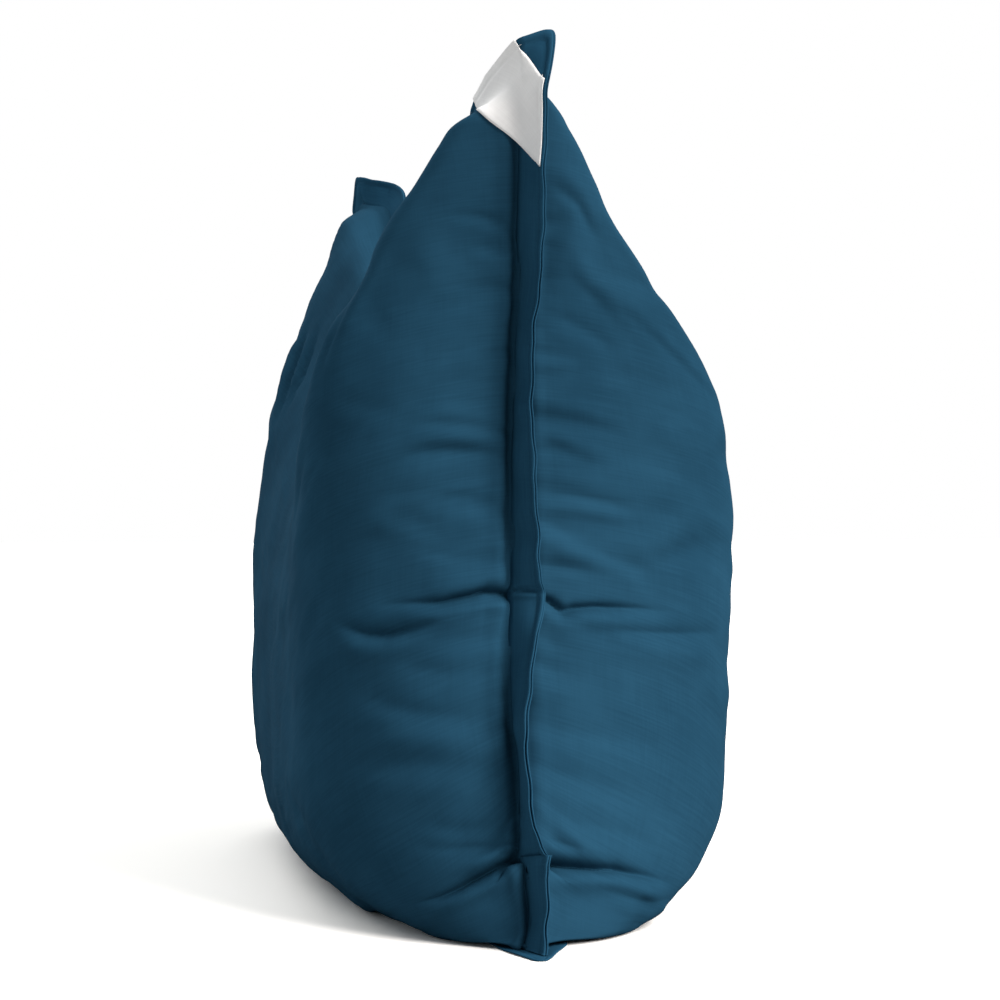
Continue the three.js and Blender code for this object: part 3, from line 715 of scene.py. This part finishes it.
# Faces of a closed strip: quads round its sections and a cap at each end
def tubeFaces(count, around):
    faces = [[k * around + n, (k + 1) * around + n, (k + 1) * around + (n + 1) % around,
              k * around + (n + 1) % around] for k in range(count - 1) for n in range(around)]
    faces.append(list(range(around)))
    faces.append([(count - 1) * around + n for n in reversed(range(around))])
    return faces


def turnFacesOut(piece):
    bm = bmesh.new()
    bm.from_mesh(piece.data)
    bmesh.ops.recalc_face_normals(bm, faces=bm.faces)
    bm.to_mesh(piece.data)
    bm.free()


def stripObject(name, verts, faces, cuts):
    mesh = bpy.data.meshes.new(name)
    mesh.from_pydata([tuple(v) for v in verts], [], faces)
    corners = np.empty(len(mesh.loops), int)
    mesh.loops.foreach_get("vertex_index", corners)
    mesh.uv_layers.new(name="flatCut").uv.foreach_set("vector", cuts[corners].ravel())
    mesh.polygons.foreach_set("use_smooth", [True] * len(mesh.polygons))
    mesh.update()
    return addObject(name, mesh)


# One stitch as a small capsule: length 2 along x and radius 1
def capsule(sides):
    rings = [(-1.0, 0.0), (-0.86, 0.72), (0.0, 1.0), (0.86, 0.72), (1.0, 0.0)]
    verts, faces = [(rings[0][0], 0.0, 0.0)], []
    for x, radius in rings[1:-1]:
        verts += [(x, radius * math.cos(2 * math.pi * k / sides), radius * math.sin(2 * math.pi * k / sides))
                  for k in range(sides)]
    verts.append((rings[-1][0], 0.0, 0.0))
    last = len(verts) - 1
    for k in range(sides):
        after = (k + 1) % sides
        faces.append((0, 1 + after, 1 + k))
        for row in range(2):
            a, b = 1 + row * sides + k, 1 + row * sides + after
            faces += [(a, b, b + sides), (a, b + sides, a + sides)]
        faces.append((1 + 2 * sides + k, 1 + 2 * sides + after, last))
    return np.array(verts), faces


stitch = {"pitch": 0.0042, "length": 0.0033, "radius": 0.00048, "sides": 6, "sink": 0.00015,
          "floorGap": 0.006}


# Stitches along a line of points, standing on a surface with these normals
def stitchRow(line, normals, skip=None):
    run = runAlong(line)
    count = int(run[-1] / stitch["pitch"])
    middles = (np.arange(count) + 0.5) * run[-1] / count
    verts, faces = [], []
    shape, shapeFaces = capsule(stitch["sides"])
    for s in middles:
        ends = [np.array([np.interp(s + d, run, line[:, c]) for c in range(3)])
                for d in (-stitch["length"] / 2, stitch["length"] / 2)]
        normal = unit(np.array([np.interp(s, run, normals[:, c]) for c in range(3)]))
        centre = (ends[0] + ends[1]) / 2
        if centre[2] < stitch["floorGap"] or (skip is not None and skip(s)):
            continue
        ahead = unit(ends[1] - ends[0])
        across = np.cross(ahead, normal)
        start = len(verts)
        placed = (centre - normal * stitch["sink"] + shape[:, :1] * ahead * stitch["length"] / 2
                  + shape[:, 1:2] * normal * stitch["radius"] + shape[:, 2:3] * across * stitch["radius"])
        verts += placed.tolist()
        faces += [tuple(start + n for n in face) for face in shapeFaces]
    return verts, faces


def joinRows(rows):
    verts, faces = [], []
    for rowVerts, rowFaces in rows:
        faces += [tuple(len(verts) + n for n in face) for face in rowFaces]
        verts += rowVerts
    return np.array(verts), faces


# The line of topstitching on one face of the flange; lift stands it on the label
def stitchLine(stations, face, lift=0.0):
    roots, outwards, thicks, pulls, insets, bow, edgeBow = stations[1:]
    share = flange["stitchShare"]
    half = np.interp(share, [row[0] for row in flangeSection], [row[1] for row in flangeSection])
    offset = face * (half + lift) + flangeWave(bow, edgeBow, share)
    return flangePoint(roots, outwards, thicks, pulls, insets, share, offset), thicks * face


# Tells whether the label covers the flange's stitching, by the distance along it
def underLabel(line, names):
    earRun = runAlong(line)[names == "nearEar"]
    covered = label["innerSum"] - flange["width"] - flange["stitchIn"] - label["stitchStop"]
    start, end, gap = earRun[0], earRun[-1], label["stitchGap"]
    return lambda s: (start - covered < s < start - gap) or (end + gap < s < end + covered)


def makeTopstitches(stations):
    rows = []
    for face in (-1, 1):
        line, normals = stitchLine(stations, face)
        rows.append(stitchRow(line, normals, underLabel(line, stations[0]) if face < 0 else None))
    verts, faces = joinRows(rows)
    return stripObject("topstitches", verts, faces, verts[:, 1:])


# The bare label: a satin band sewn slantwise over the near top corner. Its edges are given as sums of
# the distances to the two cut edges
label = {"outerSum": 0.052, "innerSum": 0.166, "nearDrop": 0.012, "outerBow": 0.010, "innerBow": 0.026,
         "nearMargin": 0.003, "topMargin": -0.0008, "thickness": 0.0009, "standOff": 0.0014,
         "alongCells": 70, "acrossCells": 26, "evening": 70, "easeAlong": 0.6, "easeAcross": 0.2,
         "patchStep": 0.004, "patchReach": 0.14, "hemRise": 0.0005, "hemPlace": 0.06, "hemReach": 0.045,
         "pressDepth": 0.0008, "pressReach": 0.0022, "stitchStop": 0.010, "stitchGap": 0.002,
         "flangeSunk": 0.001, "threadRise": 0.0004, "cutGap": 0.5}


# A point of the left face near the near top corner, from its distances to the two cut edges
def cornerPoint(panel, normals, stations, fromEnd, fromTop):
    names, roots, outwards, thicks = stations[:4]
    bow, edgeBow = stations[6:]
    width, inset = flange["width"], flange["earInset"]
    u, v = max(0.0, fromEnd - width), max(0.0, fromTop - width)
    pastEnd, pastTop = max(0.0, width - fromEnd), max(0.0, width - fromTop)
    if pastEnd == 0 and pastTop == 0:
        i, j = u / label["patchStep"], v / label["patchStep"]
        a, b = min(int(i), panel.shape[0] - 2), min(int(j), panel.shape[1] - 2)
        weights = [((a, b), (1 - i + a) * (1 - j + b)), ((a + 1, b), (i - a) * (1 - j + b)),
                   ((a, b + 1), (1 - i + a) * (j - b)), ((a + 1, b + 1), (i - a) * (j - b))]
        point = sum(w * panel[k] for k, w in weights)
        outward = unit(sum(w * normals[k] for k, w in weights))
        return point + outward * label["standOff"]
    nearCount = int((names == "near").sum())
    end, top = nearCount - 1, int(np.argmax(names == "top"))
    half = flange["faceHalf"] + label["standOff"] * 0.5
    if pastTop == 0:
        at = (1 - v / bag["seamHeight"]) * end
        k = min(int(at), nearCount - 2)
        root, direction, thick = (mix(x[k], x[k + 1], at - k) for x in (roots, outwards, thicks))
        share = (pastEnd + inset) / (width + inset)
        wave = flangeWave(mix(bow[k], bow[k + 1], at - k), edgeBow[k], share)
        return root + direction * pastEnd - thick * (half - wave)
    if pastEnd == 0:
        at = u / bag["seamLength"] * ((names == "top").sum() + 1)
        k = int(at)
        before, after = (top + k - 1 if k else end), top + k
        root = mix(roots[before], roots[after], at - k)
        direction = outwards[top] if not k else mix(outwards[before], outwards[after], at - k)
        thick = thicks[top] if not k else mix(thicks[before], thicks[after], at - k)
        share = (pastTop + inset) / (width + inset)
        wave = flangeWave(mix(bow[before], bow[after], at - k), edgeBow[after], share)
        return root + direction * pastTop - thick * (half - wave)
    turned = math.atan2(pastTop, pastEnd) / (math.pi / 2)
    thick = unit(mix(thicks[end], thicks[top], turned))
    k = int(round(mix(end, top, turned)))
    share = min(1.0, (math.hypot(pastEnd, pastTop) + inset) / (width + inset))
    wave = flangeWave(bow[k], edgeBow[k], share)
    pull = np.array(flange["nearEarTip"]) - width * (outwards[end] + outwards[top])
    return (roots[end] + outwards[end] * pastEnd + outwards[top] * pastTop
            + pull * (pastEnd * pastTop / width**2) - thick * (half - wave))


def towardsLeft(grid):
    outward = np.cross(np.gradient(grid, axis=0), np.gradient(grid, axis=1))
    return unit(outward) * (-1 if outward[..., 0].mean() > 0 else 1)


def makeLabel(moves, stations):
    reach = np.arange(0, label["patchReach"], label["patchStep"])
    lengthShares, heightShares = reach / bag["seamLength"], 1 - reach / bag["seamHeight"]
    panel = panelGrid(moves, lengthShares, heightShares[::-1], leftSide)[:, ::-1]
    normals = surfaceNormals(panel[:, ::-1], leftSide)[:, ::-1]
    nAlong, nAcross = label["alongCells"], label["acrossCells"]
    middle = np.zeros((nAlong + 1, nAcross + 1, 3))
    along, across = np.linspace(0, 1, nAlong + 1)[:, None], np.linspace(0, 1, nAcross + 1)[None]
    total = (mix(label["outerSum"], label["innerSum"] + label["nearDrop"] * (1 - along), across)
             + 4 * along * (1 - along) * mix(label["outerBow"], label["innerBow"], across))
    fromEnd = label["nearMargin"] + (total - label["nearMargin"] - label["topMargin"]) * along
    for p in range(nAlong + 1):
        for q in range(nAcross + 1):
            middle[p, q] = cornerPoint(panel, normals, stations, fromEnd[p, q], total[p, q] - fromEnd[p, q])
    rest = middle.copy()
    outward = towardsLeft(rest)
    # Pulled tight between its sewn ends, the band bridges hollows and never sinks below its rest surface
    for _ in range(label["evening"]):
        middle[1:-1] = mix(middle[1:-1], (middle[:-2] + middle[2:]) / 2, label["easeAlong"])
        middle[:, 1:-1] = mix(middle[:, 1:-1], (middle[:, :-2] + middle[:, 2:]) / 2, label["easeAcross"])
        sunk = ((middle - rest) * outward).sum(axis=-1, keepdims=True)
        middle += outward * np.maximum(0, -sunk)
    outward = towardsLeft(middle)
    # Hems along the two long edges and a shallow pressed line where the flange's stitching runs
    fromHem = (np.minimum(across, 1 - across) - label["hemPlace"]) / label["hemReach"]
    swell = label["hemRise"] * np.exp(-fromHem ** 2)
    pressed = sum(label["pressDepth"] * np.exp(-((d - flange["stitchIn"]) / label["pressReach"]) ** 2)
                  for d in (fromEnd, total - fromEnd))
    top = middle + outward * (label["thickness"] + swell - pressed)[..., None]
    verts = np.concatenate([top.reshape(-1, 3), middle.reshape(-1, 3)])
    size, row = (nAlong + 1) * (nAcross + 1), nAcross + 1
    faces = []
    for p in range(nAlong):
        for q in range(nAcross):
            a = p * row + q
            b = size + a
            faces += [(a, a + row, a + row + 1, a + 1), (b, b + 1, b + row + 1, b + row)]
    rim = ([p * row for p in range(nAlong)] + [nAlong * row + q for q in range(nAcross)]
           + [p * row + nAcross for p in range(nAlong, 0, -1)] + [q for q in range(nAcross, 0, -1)])
    for a, b in zip(rim, rim[1:] + rim[:1]):
        faces.append((b, a, size + a, size + b))
    cuts = np.stack([total * along - total / 2, total], axis=2).reshape(-1, 2)
    piece = stripObject("cornerLabel", verts, faces, np.concatenate([cuts, cuts + label["cutGap"]]))
    turnFacesOut(piece)
    return piece


def makeLabelStitches(stations):
    lift = flange["faceHalf"] - label["flangeSunk"] + label["thickness"] + label["threadRise"]
    line, normals = stitchLine(stations, -1, lift)
    under = underLabel(line, stations[0])
    verts, faces = joinRows([stitchRow(line, normals, lambda s: not under(s))])
    return stripObject("labelStitches", verts, faces, verts[:, 1:])


# The lower flange: left and right edges from the seam, along from the near tip; metres
lowerFlange = {"tip": 0.062, "half": 0.0013, "alongCells": 240, "crowding": 1.6, "lift": 0.003,
               "liftReach": 0.047, "liftFrom": -0.012, "liftFade": 0.03, "tipFrom": 0.058, "tipFade": 0.02}
lowerOutline = [(0.062, 0.003, 0.014), (0.057, -0.002, 0.018), (0.044, -0.007, 0.0255),
                (0.028, -0.013, 0.0325), (0.010, -0.020, 0.040), (-0.006, -0.025, 0.047),
                (-0.020, -0.029, 0.053), (-0.036, -0.032, 0.060), (-0.052, -0.034, 0.064),
                (-0.070, -0.037, 0.064), (-0.100, -0.043, 0.050), (-0.130, -0.045, 0.018),
                (-0.150, -0.045, 0.0)]
# Thickness across it as a share of the full one, with the two rows of stitching pressed in
lowerSection = [(0.0, 0.3), (0.03, 0.85), (0.09, 1.0), (0.17, 0.95), (0.215, 0.6), (0.235, 0.45),
                (0.255, 0.6), (0.33, 0.9), (0.5, 0.95), (0.67, 0.9), (0.745, 0.6), (0.765, 0.45),
                (0.785, 0.6), (0.83, 0.95), (0.91, 1.0), (0.97, 0.85), (1.0, 0.3)]


def makeLowerFlange():
    near = threads[0][1]
    halfLength = -near + lowerFlange["tip"]
    even = np.linspace(-1, 1, lowerFlange["alongCells"] + 1)
    y = halfLength * np.sign(even) * (1 - (1 - np.abs(even)) ** lowerFlange["crowding"])
    outward = np.abs(y) + near
    table = np.array(lowerOutline)[::-1]
    left = np.interp(outward, table[:, 0], table[:, 1])
    right = np.interp(outward, table[:, 0], table[:, 2])
    middle = (left + right) / 2
    lifted = (np.clip((outward - lowerFlange["liftFrom"]) / lowerFlange["liftFade"], 0, 1)
              * np.clip((lowerFlange["tipFrom"] - outward) / lowerFlange["tipFade"], 0, 1))
    sections = []
    for sign in (1, -1):
        for share, thick in (lowerSection if sign > 0 else lowerSection[::-1]):
            x = mix(left, right, share)
            lift = lowerFlange["lift"] * lifted * (np.abs(x - middle) / lowerFlange["liftReach"]) ** 2
            z = lowerFlange["half"] * (1 + sign * thick) + lift
            sections.append(np.stack([bag["seamAcross"] + x, y, z], axis=1))
    points = np.stack(sections, axis=1)
    verts = points.reshape(-1, 3)
    piece = stripObject("lowerFlange", verts, tubeFaces(*points.shape[:2]), verts[:, :2])
    turnFacesOut(piece)
    return piece


# Shader pieces
def newGroup(name, inputs, outputs):
    group = bpy.data.node_groups.new(name, "ShaderNodeTree")
    for socketName, kind, value in inputs:
        socket = group.interface.new_socket(name=socketName, in_out="INPUT", socket_type=kind)
        if value is not None:
            socket.default_value = value
    for socketName, kind in outputs:
        group.interface.new_socket(name=socketName, in_out="OUTPUT", socket_type=kind)
    return group, group.nodes.new("NodeGroupInput"), group.nodes.new("NodeGroupOutput")


def mathNode(tree, operation, a, b=None):
    node = tree.nodes.new("ShaderNodeMath")
    node.operation = operation
    for socket, value in zip(node.inputs, (a, b)):
        if value is None:
            continue
        if isinstance(value, (int, float)):
            socket.default_value = value
        else:
            tree.links.new(value, socket)
    return node.outputs[0]


def stretchedNoise(tree, place, stretch, detail):
    mapping = tree.nodes.new("ShaderNodeMapping")
    mapping.inputs["Scale"].default_value = stretch
    tree.links.new(place, mapping.inputs["Vector"])
    noise = tree.nodes.new("ShaderNodeTexNoise")
    noise.inputs["Scale"].default_value = 1.0
    noise.inputs["Detail"].default_value = detail
    tree.links.new(mapping.outputs["Vector"], noise.inputs["Vector"])
    return noise.outputs["Fac"]


weaveShape = {"slubLong": 14.0, "slubFine": 420.0, "slubDetail": 3.0, "slubAlong": 0.68, "slubUp": 0.32}
napShape = {"detail": 4.0, "roughness": 0.55}


# A plain weave with slubs in both yarn directions; the place is in metres on the flat cut
def makeWeaveGroup():
    group, given, out = newGroup("clothWeave", [
        ("Place", "NodeSocketVector", None), ("Yarn Pitch", "NodeSocketFloat", 0.0011),
        ("Slub Strength", "NodeSocketFloat", 0.5)],
        [("Height", "NodeSocketFloat"), ("Slub", "NodeSocketFloat")])
    split = group.nodes.new("ShaderNodeSeparateXYZ")
    group.links.new(given.outputs["Place"], split.inputs[0])
    turns = mathNode(group, "DIVIDE", math.pi, given.outputs["Yarn Pitch"])
    warp = mathNode(group, "SINE", mathNode(group, "MULTIPLY", split.outputs["X"], turns))
    weft = mathNode(group, "SINE", mathNode(group, "MULTIPLY", split.outputs["Y"], turns))
    weave = mathNode(group, "MULTIPLY", warp, weft)
    weave = mathNode(group, "MULTIPLY", mathNode(group, "ADD", weave, 1.0), 0.5)
    slow, fine, detail = weaveShape["slubLong"], weaveShape["slubFine"], weaveShape["slubDetail"]
    slubAlong = stretchedNoise(group, given.outputs["Place"], (slow, fine, 1.0), detail)
    slubUp = stretchedNoise(group, given.outputs["Place"], (fine, slow, 1.0), detail)
    slub = mathNode(group, "ADD", mathNode(group, "MULTIPLY", slubAlong, weaveShape["slubAlong"]),
                    mathNode(group, "MULTIPLY", slubUp, weaveShape["slubUp"]))
    height = mathNode(group, "ADD", weave, mathNode(group, "MULTIPLY", slub, given.outputs["Slub Strength"]))
    group.links.new(height, out.inputs["Height"])
    group.links.new(slub, out.inputs["Slub"])
    return group


# Broad light and dark patches where the pile lies differently
def makeNapGroup():
    group, given, out = newGroup("clothNap", [
        ("Place", "NodeSocketVector", None), ("Patch Scale", "NodeSocketFloat", 5.0)],
        [("Tone", "NodeSocketFloat")])
    noise = group.nodes.new("ShaderNodeTexNoise")
    noise.inputs["Detail"].default_value = napShape["detail"]
    noise.inputs["Roughness"].default_value = napShape["roughness"]
    group.links.new(given.outputs["Place"], noise.inputs["Vector"])
    group.links.new(given.outputs["Patch Scale"], noise.inputs["Scale"])
    group.links.new(noise.outputs["Fac"], out.inputs["Tone"])
    return group


def toneRamp(tree, dark, light, tone, low, high):
    spread = tree.nodes.new("ShaderNodeMapRange")
    spread.inputs["From Min"].default_value = low
    spread.inputs["From Max"].default_value = high
    tree.links.new(tone, spread.inputs["Value"])
    blend = tree.nodes.new("ShaderNodeMix")
    blend.data_type = "RGBA"
    blend.inputs["A"].default_value = (*dark, 1)
    blend.inputs["B"].default_value = (*light, 1)
    tree.links.new(spread.outputs["Result"], blend.inputs["Factor"])
    return blend.outputs["Result"]


# The base colour runs between dark and light; the other looks start from the cover's
clothLook = {"dark": (0.0104, 0.0440, 0.078), "light": (0.0142, 0.0575, 0.100), "toneRange": (0.40, 0.60),
             "napScale": 5.5, "napTone": 0.58, "slubTone": 0.42, "napRough": 0.10, "roughness": 0.9,
             "specular": 0.006, "sheen": 0.007, "sheenTint": (0.08, 0.45, 0.85), "sheenRoughness": 0.5,
             "yarnPitch": 0.0009, "bump": 0.00007}
# The flanges are the cover's own cloth, lightened by about a quarter: painted light on their shaded faces
flangePaintedLightLook = dict(clothLook, dark=(0.0125, 0.0550, 0.0985), light=(0.0168, 0.0710, 0.1250))
satinLook = dict(clothLook, dark=(0.79, 0.78, 0.765), light=(0.86, 0.85, 0.835), roughness=0.6, specular=0.12,
                 sheen=0.03, sheenTint=(1.0, 1.0, 1.0), sheenRoughness=0.3, yarnPitch=0.0005, bump=0.00005)
threadLook = dict(clothLook, dark=(0.0190, 0.0680, 0.115), light=(0.0240, 0.0800, 0.135), roughness=0.7,
                  yarnPitch=0.0004, bump=0.00004)
whiteThreadLook = dict(satinLook, dark=(0.60, 0.60, 0.59), light=(0.68, 0.68, 0.67))


def makeClothMaterial(name, look, weave, nap):
    material = bpy.data.materials.new(name)
    material.use_nodes = True
    tree = material.node_tree
    shader = tree.nodes["Principled BSDF"]
    cut = tree.nodes.new("ShaderNodeUVMap")
    cut.uv_map = "flatCut"
    place = tree.nodes.new("ShaderNodeTexCoord")
    weaveNode = tree.nodes.new("ShaderNodeGroup")
    weaveNode.node_tree = weave
    weaveNode.inputs["Yarn Pitch"].default_value = look["yarnPitch"]
    napNode = tree.nodes.new("ShaderNodeGroup")
    napNode.node_tree = nap
    napNode.inputs["Patch Scale"].default_value = look["napScale"]
    tree.links.new(cut.outputs["UV"], weaveNode.inputs["Place"])
    tree.links.new(place.outputs["Object"], napNode.inputs["Place"])
    tone = mathNode(tree, "ADD", mathNode(tree, "MULTIPLY", napNode.outputs["Tone"], look["napTone"]),
                    mathNode(tree, "MULTIPLY", weaveNode.outputs["Slub"], look["slubTone"]))
    colour = toneRamp(tree, look["dark"], look["light"], tone, *look["toneRange"])
    tree.links.new(colour, shader.inputs["Base Color"])
    rough = mathNode(tree, "ADD", mathNode(tree, "MULTIPLY", napNode.outputs["Tone"], look["napRough"]),
                     look["roughness"] - look["napRough"] / 2)
    tree.links.new(rough, shader.inputs["Roughness"])
    shader.inputs["Specular IOR Level"].default_value = look["specular"]
    shader.inputs["Sheen Weight"].default_value = look["sheen"]
    shader.inputs["Sheen Roughness"].default_value = look["sheenRoughness"]
    shader.inputs["Sheen Tint"].default_value = (*look["sheenTint"], 1)
    bump = tree.nodes.new("ShaderNodeBump")
    bump.inputs["Distance"].default_value = look["bump"]
    bump.inputs["Strength"].default_value = 1.0
    tree.links.new(weaveNode.outputs["Height"], bump.inputs["Height"])
    tree.links.new(bump.outputs["Normal"], shader.inputs["Normal"])
    return material


# Camera and light; suns as (name, direction to the light, strength, soft angle in degrees, colour)
studio = {"floorSize": 40.0, "floorSeen": (1.13, 1.11, 1.07), "floorBounce": 0.33, "floorRough": 0.9,
          "cameraPlace": (-0.612, -3.830, 0.60), "turn": 9.0, "lens": 89.64, "sensor": 36.0,
          "shiftX": 0.038, "shiftY": -0.020, "frontAmbient": 0.14, "backAmbient": 0.70, "ambientBlend": 0.6,
          "sunAway": 4,
          "suns": [("keyLight", (0.63, -0.57, 0.56), 5.5, 38, (1.04, 1.0, 0.98)),
                   ("rearLight", (-0.25, 0.62, 0.75), 2.2, 60, (1.0, 1.0, 1.0)),
                   ("leftFill", (-0.80, -0.55, 0.22), 0.47, 80, (0.84, 1.0, 1.12))]}


def makeFloor():
    mesh = bpy.data.meshes.new("studioFloor")
    bm = bmesh.new()
    bmesh.ops.create_grid(bm, x_segments=4, y_segments=4, size=studio["floorSize"] / 2)
    bm.to_mesh(mesh)
    bm.free()
    floor = addObject("studioFloor", mesh)
    material = bpy.data.materials.new("paleFloor")
    material.use_nodes = True
    tree = material.node_tree
    shader = tree.nodes["Principled BSDF"]
    path = tree.nodes.new("ShaderNodeLightPath")
    tone = tree.nodes.new("ShaderNodeMix")
    tone.data_type = "RGBA"
    tone.inputs["A"].default_value = (*[studio["floorBounce"]] * 3, 1)
    tone.inputs["B"].default_value = (*studio["floorSeen"], 1)
    tree.links.new(path.outputs["Is Camera Ray"], tone.inputs["Factor"])
    tree.links.new(tone.outputs["Result"], shader.inputs["Base Color"])
    shader.inputs["Roughness"].default_value = studio["floorRough"]
    mesh.materials.append(material)
    return floor


# The white surround is brighter behind the bag than on the camera's side
def makeStudio():
    world = bpy.data.worlds.new("studio")
    bpy.context.scene.world = world
    world.use_nodes = True
    tree = world.node_tree
    back = tree.nodes["Background"]
    place = tree.nodes.new("ShaderNodeTexCoord")
    split = tree.nodes.new("ShaderNodeSeparateXYZ")
    brightness = tree.nodes.new("ShaderNodeMapRange")
    brightness.interpolation_type = "SMOOTHSTEP"
    for name, value in (("From Min", -studio["ambientBlend"]), ("From Max", studio["ambientBlend"]),
                        ("To Min", studio["frontAmbient"]), ("To Max", studio["backAmbient"])):
        brightness.inputs[name].default_value = value
    tree.links.new(place.outputs["Generated"], split.inputs[0])
    tree.links.new(split.outputs["Y"], brightness.inputs["Value"])
    path = tree.nodes.new("ShaderNodeLightPath")
    seen = tree.nodes.new("ShaderNodeMix")
    seen.inputs["B"].default_value = 1.0
    tree.links.new(path.outputs["Is Camera Ray"], seen.inputs["Factor"])
    tree.links.new(brightness.outputs["Result"], seen.inputs["A"])
    tree.links.new(seen.outputs["Result"], back.inputs["Strength"])
    back.inputs["Color"].default_value = (1, 1, 1, 1)
    for name, direction, strength, softness, colour in studio["suns"]:
        lamp = bpy.data.lights.new(name, "SUN")
        lamp.energy, lamp.angle, lamp.color = strength, math.radians(softness), colour
        piece = addObject(name, lamp)
        piece.location = Vector(direction) * studio["sunAway"]
        piece.rotation_euler = Vector(direction).to_track_quat("Z", "Y").to_euler()
    camera = bpy.data.cameras.new("photoCamera")
    camera.lens, camera.sensor_width = studio["lens"], studio["sensor"]
    camera.shift_x, camera.shift_y = studio["shiftX"], studio["shiftY"]
    piece = addObject("photoCamera", camera)
    piece.location = studio["cameraPlace"]
    piece.rotation_euler = (math.radians(90), 0, math.radians(-studio["turn"]))
    bpy.context.scene.camera = piece
    bpy.context.scene.view_settings.view_transform = "Standard"
    bpy.context.scene.view_settings.look = "None"


moves = runCloth()
body = makeBody(moves)
print("body made")
upperFlange, stations = makeUpperFlange()
topstitches = makeTopstitches(stations)
print("upper flange and topstitches made")
lowerFlangePiece = makeLowerFlange()
cornerLabel = makeLabel(moves, stations)
labelStitches = makeLabelStitches(stations)
print("lower flange and label made")

weave, nap = makeWeaveGroup(), makeNapGroup()
coverCloth = makeClothMaterial("coverCloth", clothLook, weave, nap)
# The flanges' material carries painted light: the cover's colour lightened for their shaded faces
flangeClothPaintedLight = makeClothMaterial("flangeClothPaintedLight", flangePaintedLightLook, weave, nap)
labelSatin = makeClothMaterial("labelSatin", satinLook, weave, nap)
blueThread = makeClothMaterial("blueThread", threadLook, weave, nap)
whiteThread = makeClothMaterial("whiteThread", whiteThreadLook, weave, nap)
for piece, material in ((body, coverCloth), (upperFlange, flangeClothPaintedLight), (lowerFlangePiece, flangeClothPaintedLight),
                        (cornerLabel, labelSatin), (topstitches, blueThread), (labelStitches, whiteThread)):
    piece.data.materials.append(material)
    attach(piece, "root")
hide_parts("bag_body")
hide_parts("upper_flange")
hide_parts("lower_flange")
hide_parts("corner_label")

makeFloor()
makeStudio()
print("studio set")
